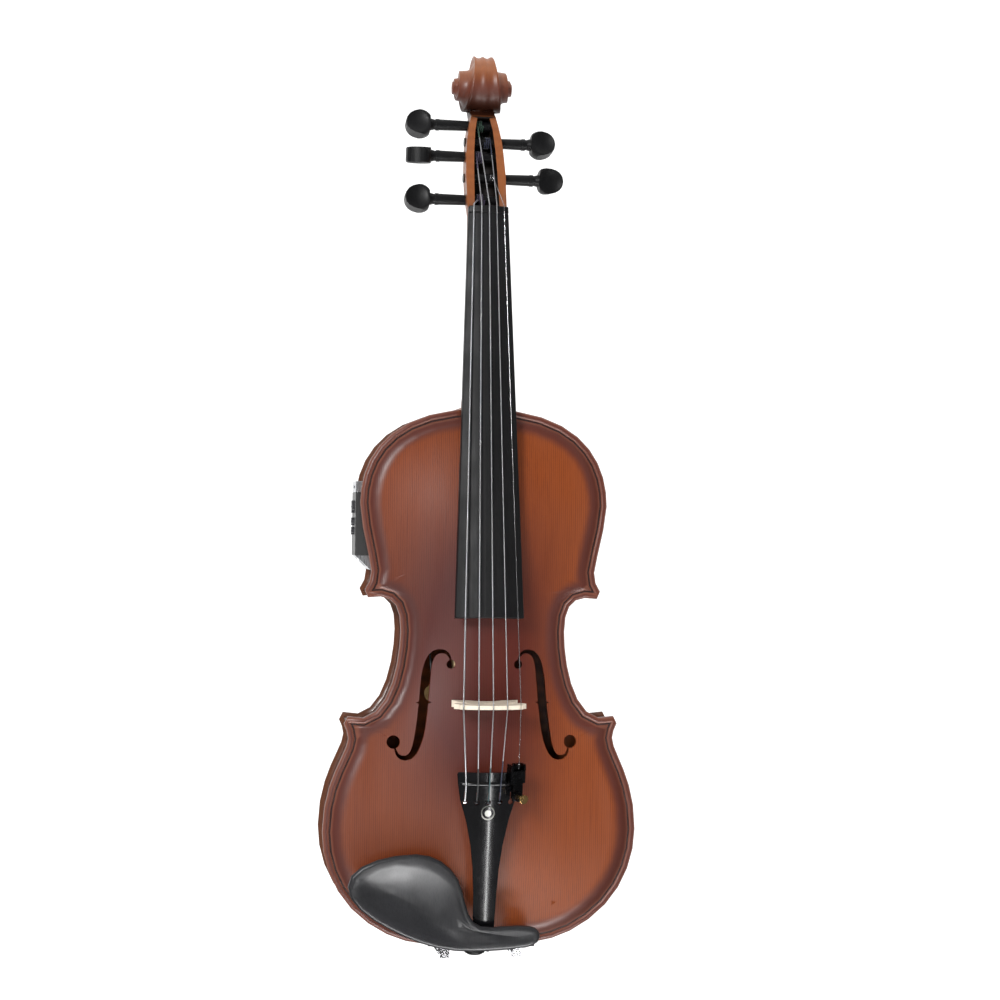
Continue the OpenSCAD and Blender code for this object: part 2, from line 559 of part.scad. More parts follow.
// Rim of the first turn: two flutes beside a central ridge
rim_f = [0.86, 0.68, 0.45, 0.22, 0];
rim_d = [0.15, 1.0, 1.2, 0.85, 0];
rim_x = concat(rim_f, [for (i = [3 : -1 : 0]) -rim_f[i]]);
rim_dip = concat(rim_d, [for (i = [3 : -1 : 0]) rim_d[i]]);
module volute() {
    side = [for (g = [1, -1], i = [0 : t_n]) for (q = channel(i * step))
        at_spiral(g * q[1], q[0], i * step)];
    s1 = (t_n + 1) * 6;
    hub0 = 2 * s1;
    hub = [for (g = [1, -1], j = [0 : turn - 1]) at_spiral(g * eye_half, eye_r, j * step)];
    c0 = hub0 + 2 * turn;
    mid = [for (g = [1, -1]) [g * (eye_half + 0.5), eye[0], eye[1]]];
    e0 = c0 + 2;
    m = len(rim_x);
    edge = [for (i = [0 : turn], k = [0 : m - 1]) let (t = i * step)
        at_spiral(rim_x[k] * vol_half(t), vol_r(t) - rim_dip[k], t)];
    walls = [for (g = [0, 1]) for (i = [0 : t_n - 1]) let (o = g * s1 + i * 6) each concat(
        [for (k = [0 : 4]) each quad(o + k, o + k + 6, o + k + 7, o + k + 1, g == 0)],
        i + turn + 1 <= t_n
            ? quad(o + 5, o + 11, o + 6 * turn + 6, o + 6 * turn, g == 0)
            : quad(o + 5, o + 11, hub0 + g * turn + (i + 1) % turn,
                hub0 + g * turn + i % turn, g == 0))];
    caps = [for (g = [0, 1], j = [0 : turn - 1])
        tri(c0 + g, hub0 + g * turn + j, hub0 + g * turn + (j + 1) % turn, g == 0)];
    // the step at the eye, where the last turn ends
    ends = [for (g = [0, 1]) let (b = g * s1 + t_n * 6, a = g * s1 + (t_n - turn) * 6 + 5,
            f = concat([a], [for (k = [0 : 5]) b + k], [hub0 + g * turn + t_n % turn]))
        g == 0 ? f : [for (k = [7 : -1 : 0]) f[k]]];
    rims = [for (i = [0 : turn - 1]) let (e = e0 + i * m) each concat(
        quad(i * 6, (i + 1) * 6, e + m, e, false),
        [for (k = [0 : m - 2]) each quad(e + k, e + m + k, e + m + k + 1, e + k + 1, false)],
        quad(e + m - 1, e + 2 * m - 1, s1 + (i + 1) * 6, s1 + i * 6, false))];
    // the step at the start, mostly buried in the pegbox: half of it, then its mirror image
    w = e0 + turn * m;
    half = [[e0, 0, 1], [e0, 1, 2], [e0, 2, 3], [e0, 3, 4], [e0, 4, w + 2], [w + 2, 4, 5],
        [w + 2, 5, w + 1], [w + 1, 5, w], [w, 5, 6 * turn], [e0, w + 2, e0 + 1],
        [e0 + 1, w + 2, e0 + 2], [e0 + 2, w + 2, w + 3], [e0 + 2, w + 3, e0 + 3],
        [e0 + 3, w + 3, e0 + 4], [e0 + 4, w + 3, w + 4]];
    function other(v) = v >= w ? 2 * w + m - 1 - v : v >= e0 ? 2 * e0 + m - 1 - v : v + s1;
    start = concat([for (f = half) back_order(f)], [for (f = half) [for (v = f) other(v)]]);
    polyhedron(points = concat(side, hub, mid, edge),
        faces = concat(walls, caps, ends, rims, start), convexity = 10);
}

// The pegs: [height above the nut, side, head's middle, where the string arrives, rest angle]
peg_list = [[11.2, -1, 46, 5.6, 8], [42, -1, 44.3, 5.2, 84], [64.3, -1, 44, 3.7, 12],
    [52.5, 1, 41.5, 4.9, 170], [26.8, 1, 45.8, 6.2, 186]];
peg_deep = [10, 9.6, 8.6, 9.4, 9.6];
peg_slope = 1 / 60;
function peg_z(i) = nut_z + peg_list[i][0];
function peg_y(i) = rim_y(peg_z(i)) + peg_deep[i];
module at_peg(i) {
    translate([0, peg_y(i), peg_z(i)]) rotate([0, peg_list[i][1] * 90, 0]) children();
}
cavity = [[nut_z + nut_len + 1.6, 8.4], [nut_z + 29, 7.9], [nut_z + 45, 7.3],
    [nut_z + 60, 6], [nut_z + 69, 4.2]];
cavity_floor = 5.5;
module pegbox_cavity() intersection() {
    slab(concat([for (c = cavity) [c[1], c[0]]],
        [for (i = [4 : -1 : 0]) [-cavity[i][1], cavity[i][0]]]), -10, 70);
    web([[rim_y(nut_z) - 12, nut_z + nut_len + 1.6],
        [rim_y(nut_z + 6) + 17.4, nut_z + nut_len + 1.6],
        [rim_y(nut_z + 14) + 24.2 - cavity_floor, nut_z + 15],
        [rim_y(nut_z + 44) + 23.6 - cavity_floor, nut_z + 44],
        [rim_y(nut_z + 63) + 23.6 - cavity_floor - 1.5, nut_z + 63],
        [rim_y(nut_z + 69) + 10, nut_z + 68.9],
        [rim_y(nut_z + 69) - 12, nut_z + 68.9]], -20, 20);
}
module neck_and_scroll() to_frame() color(MAPLE) difference() {
    union() {
        neck_loft();
        volute();
        slab([[-root_w / 2 + 0.2, body_len - root_in], [root_w / 2 - 0.2, body_len - root_in],
            [root_w / 2 - 0.2, body_len + 0.5], [-root_w / 2 + 0.2, body_len + 0.5]],
            plane_y(body_len) + 0.66, rib_h - 0.02);
    }
    pegbox_cavity();
    for (i = [0 : 4]) at_peg(i) translate([0, 0, -25])
        cylinder(r1 = peg_r + run - 25 * peg_slope, r2 = peg_r + run + 25 * peg_slope, h = 50);
}

// A peg lies along its own z axis, head outward
head_line = closed_chain([[0, 0, 90, 7, 7], [4.6, 8.8, 0, 4, 5.5], [16.8, 0, -90, 6.6, 6.6],
    [4.6, -8.8, 180, 5.5, 4]], [4, 5, 5, 4]);
head_t = 10.4;
module peg(i) to_frame() color(BLACK) at_peg(i) {
    p = peg_list[i];
    far = width_at(peg_z(i)) / 2 + 0.7;
    neck = p[2] - 8.4;
    difference() {
        rotate([0, 0, p[4]]) union() {
            translate([0, 0, -far]) cylinder(r1 = peg_r - far * peg_slope,
                r2 = peg_r + (neck - 6) * peg_slope, h = far + neck - 6);
            translate([0, 0, neck - 6]) cylinder(r = 4, h = 2.2);
            translate([0, 0, neck - 3.8]) cylinder(r = 3.5, h = 1.4);
            translate([0, 0, neck - 2.4]) cylinder(r1 = 3.6, r2 = 4.4, h = 3.2);
            intersection() {
                translate([0, head_t / 2, neck]) rotate([90, 0, 0]) linear_extrude(head_t)
                    rotate([0, 0, 90]) polygon(head_line);
                translate([0, 0, neck + 7.6]) sphere(r = 10);
            }
        }
        rotate([0, 0, p[4]]) for (g = [1, -1])
            translate([0, g * (24 + head_t / 2 - 1.3), neck + 9]) sphere(r = 24, $fn = 64);
    }
}
module peg_1() { peg(0); }
module peg_2() { peg(1); }
module peg_3() { peg(2); }
module peg_4() { peg(3); }
module peg_5() { peg(4); }

// The wound end of a string: one tube, straight for a diameter at each end
wind_step = 24;
function wind_r(i) = peg_r + peg_list[i][3] * peg_slope + string_d[i] / 2 + 0.02;
function wind_pitch(i) = string_d[i] + 0.55;
function wind_path(i) =
    let (r = wind_r(i), d = string_d[i], n = wind_turns * wind_step, x = peg_list[i][3],
        g = peg_list[i][1])
    concat([[g * d, -r, x]],
        [for (k = [0 : n]) [-g * r * sin(360 * k / wind_step), -r * cos(360 * k / wind_step),
            x - wind_pitch(i) * k / wind_step]],
        [[-g * d, -r, x - wind_pitch(i) * wind_turns]]);
// Sweeps a tube of radius r and m sides along a path that never turns back on itself
function path_dir(p, i) = unit(p[min(len(p) - 1, i + 1)] - p[max(0, i - 1)]);
function tube_points(p, r, m, up) = [for (i = [0 : len(p) - 1])
    let (t = path_dir(p, i), a = unit(cross(t, up)), b = cross(a, t))
    for (j = [0 : m - 1]) p[i] + r * (cos(360 * j / m) * a + sin(360 * j / m) * b)];
module tube(p, r, m, up) {
    polyhedron(points = tube_points(p, r, m, up), faces = tube_faces(len(p), m), convexity = 8);
}
for (i = [0 : 4]) echo(winding = i + 1, least_gap_to_itself =
    min([for (k = [0 : wind_step]) let (p = wind_path(i))
        norm(p[k + 1 + wind_step] - p[k + 1]) - string_d[i]]));
module string_winding(i) to_frame() color("silver") at_peg(i)
    tube(wind_path(i), string_d[i] / 2, 6, [0, 0, 1]);
module string_winding_1() { string_winding(0); }
module string_winding_2() { string_winding(1); }
module string_winding_3() { string_winding(2); }
module string_winding_4() { string_winding(3); }
module string_winding_5() { string_winding(4); }

// Places that the strings pass: nut, bridge and tailpiece
function along(u, v) = [nut_y + v * cos(neck_tilt) + u * sin(neck_tilt),
    nut_z + u * cos(neck_tilt) - v * sin(neck_tilt)];
function spread(i, w) = -w / 2 + w * i / 4;
function nut_top(x) = -nut_thick - 0.6 + sag(x, crown_r);
board_end = along(-board_len, -end_thick - string_rise);
nut_mid = along(nut_len / 2, -nut_thick - 0.6);
bridge_top = nut_mid[0] + (board_end[0] - nut_mid[0]) / (board_end[1] - nut_mid[1])
    * (bridge_z - nut_mid[1]);
function bridge_y(x) = bridge_top + sag(x, crown_r);
tail_top = tail_end + tail_len;
tail_slope = 0.155;
fret_drop = 7.5;
function tail_face(x, z) = -36.5 + (tail_top - z) * tail_slope + sag(x, 46);
function string_path(i) =
    let (d = string_d[i], h = d / 2 + glue, xn = spread(i, nut_spread),
        xb = spread(i, bridge_spread), xt = xb * 0.8, zf = tail_top - fret_drop,
        a = along(0.4, nut_top(xn) - h), b = along(nut_len + d / 2 + 0.15, nut_top(xn) - h),
        yp = peg_y(i) - wind_r(i) - d - seat, zp = peg_z(i) - 0.5, g = peg_list[i][1],
        xp = g * peg_list[i][3])
    concat(i < 4
        ? [[xt, tail_face(xt, zf - 12) + 1.2, zf - 11.6], [xt, tail_face(xt, zf - 7) - h - 0.2, zf - 7],
            [xt, tail_face(xt, zf) - 1.5 - h, zf]]
        : [hook_at + [0, 0.4, -1.6], hook_at],
        [[xb, bridge_y(xb) - h, bridge_z - 1], [xb, bridge_y(xb) - h, bridge_z + 1],
        [xn, a[0], a[1]], [xn, b[0], b[1]], [xp, yp, zp]]);
module string(i) to_frame() color("silver")
    tube(string_path(i), string_d[i] / 2, 8, [1, 0, 0]);
module string_1() { string(0); }
module string_2() { string(1); }
module string_3() { string(2); }
module string_4() { string(3); }
module string_5() { string(4); }

// The bridge: feet on the arch, waist, kidneys, heart and thin crowned top
half_w = bridge_w / 2;
arch_y = front_y(0, bridge_z);
function bridge_side() =
    let (y0 = arch_y, yt = bridge_top, x1 = bridge_spread / 2 + 1.6)
    concat([for (x = [0 : 4 : 16]) [x, bridge_y(x)]], [[x1, bridge_y(x1)]],
        [[half_w - 2.4, yt + 9.6], [half_w, yt + 12.6], [half_w - 0.8, yt + 15.6],
        [half_w - 3.6, yt + 16.8], [half_w - 7.2, yt + 15.8], [half_w - 9.4, yt + 17.6],
        [half_w - 9, yt + 20.4], [half_w - 5.4, yt + 22.6], [half_w - 3, front_y(22, bridge_z) - 2.6],
        [half_w - 1.8, front_y(22, bridge_z) - 1.1]],
        [for (x = [22, 18, 13.5, 11]) [x, front_y(x, bridge_z) - seat]],
        [[9.6, front_y(11, bridge_z) - 1.6], [5, y0 - 3.8], [0, y0 - 4.6]]);
module bridge() to_frame() color("#efe2c4") intersection() {
    translate([0, 0, bridge_z - 4]) linear_extrude(8) difference() {
        polygon(concat(bridge_side(), [for (q = back_order(bridge_side())) if (q.x > 0) [-q.x, q.y]]));
        for (g = [1, -1]) {
            translate([g * (half_w - 9.8), bridge_top + 12.4]) circle(r = 2.5);
            translate([g * 2.1, bridge_top + 13.6]) circle(r = 1.9);
        }
        polygon([[-2.2, bridge_top + 14.6], [2.2, bridge_top + 14.6], [0, bridge_top + 18.6]]);
    }
    web([[bridge_top - 3, bridge_z - 1.2], [bridge_top - 3, bridge_z + 1.2],
        [arch_y + 8, bridge_z + 2.5], [arch_y + 8, bridge_z - 2.4]], -40, 40);
}

// The tailpiece: crowned, waisted and hollow beneath, with five string slots
tail_shape = [[0, tail_w - 1.2], [1.2, tail_w], [8, tail_w - 1.3], [18, tail_w - 4.6],
    [32, tail_w - 13], [48, tail_w - 19.6], [64, tail_w - 23.6], [80, tail_w - 25.6],
    [94, tail_w - 26.4], [tail_len - 1.4, tail_w - 26.9], [tail_len, tail_w - 29]];
tail_n = 8;
function tail_section(s) =
    let (z = tail_top - s[0], w = s[1] / 2, edge = tail_face(w, z) + 2.6,
        low = tail_face(0, z) + (s[0] < 3 || s[0] > tail_len - 3 ? 6 : 4.6))
    concat([for (i = [0 : tail_n]) let (x = w * cos(180 * i / tail_n)) [x, tail_face(x, z), z]],
        [for (i = [tail_n : -2 : 0]) let (x = w * cos(180 * i / tail_n))
            [x * 0.96, max(low - 2.6 * pow(x / w, 2) * 0.4, tail_face(x, z) + 2.2), z]]);
module tail_hole(i) {
    x = spread(i, bridge_spread) * 0.8;
    z = tail_top - fret_drop - 12;
    rod_y(x, z, -60, -10, 1.7);
    block(x - 0.65, x + 0.65, -60, -10, z, z + 6.5);
}
module tailpiece() to_frame() color(BLACK) difference() {
    union() {
        polyhedron(points = [for (s = back_order(tail_shape)) each tail_section(s)],
            faces = tube_faces(len(tail_shape), tail_n + 1 + tail_n / 2 + 1), convexity = 4);
        intersection() {
            translate([0, 46 + tail_face(0, tail_top - fret_drop) - 1.1, tail_top - fret_drop - 1])
                cylinder(r = 46, h = 2, $fn = 96);
            block(-tail_w / 2 + 1.6, tail_w / 2 - 1.6, -50, -29, tail_top - fret_drop - 1,
                tail_top - fret_drop + 1);
        }
    }
    for (i = [0 : 4]) tail_hole(i);
    translate([0, 0, inlay_z]) rotate([90 - atan(tail_slope), 0, 0]) translate([0, 0, -tail_face(0, inlay_z) * cos(atan(tail_slope)) - 0])
        translate([0, 0, -0.7]) difference() {
            cylinder(r = inlay_r + glue, h = 4);
            translate([0, 0, -1]) cylinder(r = inlay_r - 0.9, h = 6);
        }
    for (g = [1, -1]) translate([g * gut_x, tail_face(0, tail_top - tail_len) + 3.1, tail_top - tail_len - 1])
        cylinder(r = gut_r + 0.2, h = 12);
}
inlay_z = tail_top - 31.5;
inlay_r = 4.6;
module tailpiece_inlay() to_frame() color("#e9e6da") translate([0, 0, inlay_z])
    rotate([90 - atan(tail_slope), 0, 0])
    translate([0, 0, -tail_face(0, inlay_z) * cos(atan(tail_slope)) - 0.68]) difference() {
        cylinder(r = inlay_r, h = 0.5);
        translate([0, 0, -1]) cylinder(r = inlay_r - 0.9 + glue, h = 3);
    }

// The tail gut leaves the tailpiece, bends over the saddle and loops round the button
gut_r = 0.95;
gut_x = 4;
saddle_y = -edge_t - 5.5;
button_y = rib_h / 2;
loop_z = -3.6;
loop_r = 4.9 + gut_r + 0.25;
function gut_side(g) =
    let (z0 = tail_top - tail_len + 8, y0 = tail_face(0, tail_top - tail_len) + 3.1)
    [[g * gut_x, y0, z0], [g * gut_x, y0, tail_top - tail_len - 1.6],
        [g * (gut_x + 0.5), saddle_y - gut_r - 0.25, 2.2],
        [g * (gut_x + 0.8), saddle_y - gut_r + 0.6, -0.9],
        [g * (gut_x + 1), saddle_y + 2.4, -2.6],
        [g * loop_r, saddle_y + 7, loop_z], [g * loop_r, button_y - 3, loop_z]];
gut_path = concat(gut_side(1),
    [for (a = [0 : 20 : 180]) [loop_r * cos(a), button_y + loop_r * sin(a), loop_z]],
    back_order(gut_side(-1)));
module tail_gut() to_frame() color("#111111") tube(gut_path, gut_r, 8, [0, 0.35, 1]);

module saddle() to_frame() color(BLACK) intersection() {
    slab([[-saddle_w / 2, saddle_in], [saddle_w / 2, saddle_in], [saddle_w / 2, 0.9],
        [6, 0.05], [-6, 0.05], [-saddle_w / 2, 0.9]], -20, -0.02);
    translate([0, saddle_y + 34, -5]) cylinder(r = 34, h = 20, $fn = 96);
    web([[saddle_y + 1, 0], [saddle_y, 1.4], [saddle_y, 3], [-edge_t - 1, 8], [1, 8], [1, 0]],
        -30, 30);
}

stem_r = 3.8;
module end_button() to_frame() color(BLACK) translate([0, button_y, 0]) rotate_extrude()
    polygon([[0, end_in - 1], [stem_r - 0.3, end_in - 1], [stem_r, 0], [stem_r, overhang - 0.1],
        [4.9, overhang - 0.1], [4.9, -5], [button_r - 0.8, -5.4], [button_r, -6.4],
        [button_r - 0.3, -8], [button_r - 2.6, -9.3], [0, -9.8]]);

// The fine tuner sits on the tailpiece at the highest string
tuner_x = spread(4, bridge_spread) * 0.86;
tuner_z = tail_top - 2;
tuner_lean = asin(tuner_x / 46);
module at_tuner() {
    translate([tuner_x, tail_face(tuner_x, tuner_z), tuner_z]) rotate([-atan(-tail_slope), 0, 0])
        rotate([0, 0, tuner_lean]) children();
}
pin_w = 2.5;
pin_v = -3.1;
screw_w = -12.5;
screw_r = 1.2;
lever_v = -3.9;
hook_at = let (c = cos(tuner_lean), s = sin(tuner_lean), b = atan(tail_slope),
        q = [s * 6.6, -c * 6.6, 7.4])
    [tuner_x + q.x, tail_face(tuner_x, tuner_z) + q.y * cos(b) - q.z * sin(b),
        tuner_z + q.y * sin(b) + q.z * cos(b)];
module tuner_body() to_frame() color(BLACK) at_tuner() difference() {
    union() {
        block(-5.3, 5.3, -6.6, -5.2, -4, 4.4);
        block(-3.6, 3.6, -6.6, -5.2, -15.5, -3.9);
        for (g = [-1, 1]) block(g * 4.6 - 0.7, g * 4.6 + 0.7, -6.6, -0.8, -4, 8.4);
        block(-5.3, 5.3, -1.4, -0.4, -4, 6);
        rod_y(0, screw_w, -8.2, -6.5, 3.2);
    }
    rod_y(0, screw_w, -9, -4, screw_r + run);
    translate([-8, pin_v, pin_w]) rotate([0, 90, 0]) cylinder(r = 0.8 + run, h = 16);
}
module tuner_lever() to_frame() color("#3a3a3c") at_tuner() union() {
    block(-2.7, 2.7, lever_v, lever_v + 1.5, -14.5, 9);
    translate([-5.2, pin_v, pin_w]) rotate([0, 90, 0]) cylinder(r = 0.8, h = 10.4);
    difference() {
        block(-1.6, 1.6, lever_v - 2.2, lever_v + 0.1, 6.9, 9);
        block(-0.35, 0.35, lever_v - 3, lever_v - 0.6, 6, 10);
    }
}
module tuner_screw_shank() to_frame() color("#c9a24a") at_tuner()
    rod_y(0, screw_w, -14.6, lever_v - 0.05, screw_r);
module tuner_screw_head() to_frame() color("#c9a24a") at_tuner() difference() {
    union() {
        rod_y(0, screw_w, -14.8, -12.8, 3);
        rod_y(0, screw_w, -12.9, -11.2, 1.9);
    }
    rod_y(0, screw_w, -14.7, -11, screw_r + run);
}

// The chin rest: a cup left of the tailpiece, with an arm across the tailpiece's end
chin_knots = [[-90.3, 44, 92, 14, 13], [-46, 64.5, 0, 22, 15], [-15.5, 41, -76, 13, 13],
    [-3, 17.2, -14, 8, 9], [30, 16.6, -10, 11, 4], [36.5, 9.6, -92, 4, 4],
    [27, 2.6, 187, 5, 12], [-8, 0.6, 180, 13, 16], [-54, 11.6, 154, 16, 17]];
chin_line = closed_chain(chin_knots, [5, 5, 4, 4, 3, 3, 4, 4, 5]);
chin_n = len(chin_line);
rest_y = -28.6;
function chin_spine(x) = let (c = min(24, max(-57, x)))
    [c, c < -24 ? 16.5 - (c + 24) * 0.6 : 16.5 - (c + 24) * 0.145];
function cup(x) = ease((-4 - x) / 34);
function chin_toward(e, s) = let (p = closed_inset(chin_line, e))
    [for (i = [0 : chin_n - 1]) mix(p[i], chin_spine(chin_line[i].x), s)];
function floor_y(x) = mix(-22.6, -17.5, ease((-16 - x) / 26));
module chin_cup() {
    rows = concat(
        [for (r = [[4.4, 0.5, 0], [1.4, 0.1, 0]]) [for (q = chin_toward(r[0], 0))
            [q.x, mix(floor_y(q.x), rest_y + 2.4, r[1] * 0 + (r[0] < 2 ? 0.5 : 0.12)), q.y]]],
        [[for (q = chin_toward(0, 0)) [q.x, rest_y + 2.2, q.y]]],
        [[for (q = chin_toward(0.7, 0)) [q.x, rest_y + 0.5, q.y]]],
        [[for (q = chin_toward(2.6, 0)) [q.x, rest_y, q.y]]],
        [for (s = [0.2, 0.45, 0.75]) [for (q = chin_toward(3.4, s))
            [q.x, rest_y + 0.4 + 8.2 * cup(q.x) * sin(90 * s), q.y]]]);
    n = chin_n;
    m = len(rows);
    low = [for (q = chin_toward(4.4, 1)) [q.x, floor_y(q.x), q.y]];
    top = [for (q = chin_toward(3.4, 0.96)) [q.x, rest_y + 0.4 + 8.2 * cup(q.x), q.y]];
    all = concat([[for (q = chin_toward(4.4, 0.96)) [q.x, floor_y(q.x), q.y]]], rows, [top]);
    polyhedron(points = [for (r = all) each r],
        faces = concat([for (r = [0 : m], j = [0 : n - 1])
            each quad(r * n + j, r * n + (j + 1) % n, (r + 1) * n + (j + 1) % n,
                (r + 1) * n + j, false)],
            [for (k = fan(n)) [k[0], k[2], k[1]]], [for (k = fan(n)) k + [1, 1, 1] * (m + 1) * n]),
        convexity = 8);
}
// Closes the slit left round the middle line by stitching its two banks together
function fan(n) = let (order = slit(n)) [for (k = [0 : len(order) - 3])
    k % 2 == 0 ? [order[k], order[k + 1], order[k + 2]] : [order[k + 1], order[k], order[k + 2]]];
function slit(n) = [for (k = [0 : n - 1]) k % 2 == 0 ? (n - k / 2) % n : (k + 1) / 2];
pad_x0 = saddle_w / 2 + 1.5;
pad_x1 = 37;
pad_z1 = 8.6;
pad_z0 = 3.2;
cork_t = 2;
pad_y = -edge_t - 0.35;
module chin_rest() to_frame() color(BLACK) union() {
    chin_cup();
    for (g = [1, -1]) block(g > 0 ? pad_x0 : -pad_x1, g > 0 ? pad_x1 - 4 : -pad_x0,
        rest_y + 3.4, pad_y - cork_t, g > 0 ? pad_z0 : pad_z0 + 1.2, g > 0 ? pad_z1 : pad_z1 + 1);
}
module chin_rest_cork() to_frame() color("#b08a5a") for (g = [1, -1])
    block(g > 0 ? pad_x0 : -pad_x1, g > 0 ? pad_x1 - 4 : -pad_x0, pad_y - cork_t + 0.02, pad_y,
        g > 0 ? pad_z0 : pad_z0 + 1.2, g > 0 ? pad_z1 : pad_z1 + 1);

// The clamp: two barrels draw its foot against the back
stud_r = 1.5;
clamp_z = -3.4 - 1.2;
barrel_y0 = 4;
module clamp_studs() to_frame() color("silver") for (g = [1, -1]) union() {
    rod_y(g * barrel_gap / 2, clamp_z, pad_y - cork_t - 5, barrel_y0 + barrel_len / 2 - 1, stud_r);
    translate([g * barrel_gap / 2, pad_y - cork_t - 4, clamp_z - stud_r])
        translate([-3, -1.2, 0]) cube([6, 2.4, pad_z0 - clamp_z + stud_r - 0.02]);
}
module clamp_barrel(g) to_frame() color("silver") difference() {
    rod_y(g * barrel_gap / 2, clamp_z, barrel_y0, barrel_y0 + barrel_len, barrel_r);
    rod_y(g * barrel_gap / 2, clamp_z, barrel_y0 - 1, barrel_y0 + barrel_len + 1, stud_r + run);
    for (a = [0, 90]) translate([g * barrel_gap / 2, barrel_y0 + barrel_len / 2, clamp_z])
        rotate([0, a, 0]) translate([0, 0, -5]) cylinder(r = 0.8, h = 10);
}
module clamp_barrel_bass() { clamp_barrel(-1); }
module clamp_barrel_treble() { clamp_barrel(1); }
foot_y = rib_h + edge_t + 0.35;
module clamp_foot() to_frame() color("silver") union() {
    for (g = [1, -1]) rod_y(g * barrel_gap / 2, clamp_z, barrel_y0 + barrel_len / 2 + 1,
        foot_y + cork_t + 1, stud_r);
    block(-barrel_gap / 2 - 4, barrel_gap / 2 + 4, foot_y + cork_t, foot_y + cork_t + 2,
        clamp_z - 2.4, pad_z1 + 1);
}
module clamp_foot_cork() to_frame() color("#b08a5a")
    block(-barrel_gap / 2 - 4, barrel_gap / 2 + 4, foot_y, foot_y + cork_t - 0.02, 1.8, pad_z1 + 1);

// The preamp stands a little proud of the upper bass rib
face_x = -upper_w / 2 - 2.4;
face_t = 2.2;
tip_h = 9.4;
cap_h = 7.2;
mid_z0 = panel_z + tip_h;
mid_z1 = panel_z + panel_len - cap_h;
py0 = panel_y;
py1 = panel_y + panel_w;
pm = rib_h / 2;
knob_z = [mid_z1 - 9.6, mid_z1 - 19.4, mid_z1 - 25.6];
knob_out = 1.8;
pot_r = 1.5;
// The rib's outer face on the treble side, and a piece that seats on it on the bass side
rib_face = [for (q = back_order(runs(overhang)[0])) [q.y, q.x]];
function seat_x(z) = -lookup(z, rib_face) - seat;
module flange(z0, z1) {
    slab(concat([[face_x, z1], [face_x, z0], [seat_x(z0), z0]],
        [for (q = rib_face) if (q[0] > z0 + 0.2 && q[0] < z1 - 0.2) [seat_x(q[0]), q[0]]],
        [[seat_x(z1), z1]]), py0, py1);
}
box_x0 = -upper_w / 2 + 4.7;
back_x = box_x0 - glue;
module preamp_panel() to_frame() color(BLACK) difference() {
    union() {
        difference() {
            flange(mid_z0 + 0.02, mid_z1 - 0.1);
            block(face_x + 2, 0, py0 + cut_in, py1 - cut_in, mid_z0 - 1, mid_z1 + 1);
        }
        block(face_x + 1.9, back_x, py0 + cut_in + 0.2, py1 - cut_in - 0.2,
            mid_z0 + 0.02, mid_z1 - 0.1);
        block(face_x, face_x + 3, py0, py1, mid_z0 + 0.02, mid_z1 - 0.1);
    }
    for (i = [0 : 2]) translate([face_x - 1, pm, knob_z[i]]) rotate([0, 90, 0]) {
        cylinder(r = (i == 0 ? volume_r : tone_r) + 0.15, h = 1 + face_t);
        cylinder(r = pot_r + run, h = 20);
    }
}
module knob(i, r) to_frame() color("#1d1d1f") translate([face_x - knob_out, pm, knob_z[i]])
    rotate([0, 90, 0]) difference() {
        union() {
            cylinder(r = r, h = knob_out + face_t - 0.3);
            translate([0, 0, knob_out + face_t - 0.4]) cylinder(r = pot_r, h = 3.6);
        }
        translate([-0.4, -r - 1, -1]) cube([0.8, r + 0.6, 1.6]);
    }
module volume_knob() { knob(0, volume_r); }
module bass_knob() { knob(1, tone_r); }
module treble_knob() { knob(2, tone_r); }

// The housing behind the panel holds the circuit and the cell's drawer
box_x1 = box_x0 + 15.5;
box_y0 = py0 + 1.4;
box_y1 = py1 - 1.4;
slot_z0 = mid_z1 + 0.4;
slot_z1 = panel_z + panel_len - 2.2;
module preamp_housing() to_frame() color("#26262a") difference() {
    block(box_x0, box_x1, box_y0, box_y1, mid_z0 + 1.6, panel_z + panel_len - cut_in - 0.25);
    block(box_x0 - 5, box_x1 - 1, box_y0 + 0.8, box_y1 - 0.8, slot_z0 - 0.1, slot_z1 + 0.1);
    for (i = [0 : 2]) translate([box_x0 - 1, pm, knob_z[i]]) rotate([0, 90, 0])
        cylinder(r = pot_r + run, h = 4);
}
tray_x1 = box_x1 - 1.2;
cell_t = 2.4;
module battery_drawer() to_frame() color("silver") difference() {
    union() {
        flange(mid_z1, panel_z + panel_len);
        block(face_x + face_t - 0.1, tray_x1, box_y0 + 0.95, box_y1 - 0.95, slot_z0 + 0.05, slot_z1 - 0.05);
    }
    translate([tray_x1 - cell_d / 2 - 0.8, pm, slot_z0 + 1.6]) cylinder(r = cell_d / 2 + 0.15, h = 10);
    block(face_x - 1, face_x + 0.8, pm - 5, pm + 5, mid_z1 + 2.4, mid_z1 + 4.8);
}
module coin_cell() to_frame() color("#d5d5d8")
    translate([tray_x1 - cell_d / 2 - 0.8, pm, slot_z0 + 1.62]) cylinder(r = cell_d / 2, h = cell_t);

// The output socket is the panel's lower end piece
jack_z = panel_z + 5.2;
jack_in = 30;
module jack_socket() to_frame() color("silver") difference() {
    union() {
        flange(panel_z, mid_z0);
        translate([face_x + 2, pm, jack_z]) rotate([0, 90, 0]) cylinder(r = 4.1, h = jack_in);
    }
    slab([[face_x - 1, panel_z - 1], [seat_x(panel_z) - 1.6, panel_z - 1], [face_x - 1, mid_z0 + 1]],
        -1, rib_h + 1);
    translate([face_x - 1, pm, jack_z]) rotate([0, 90, 0]) cylinder(r = jack_r, h = jack_in + 6);
}

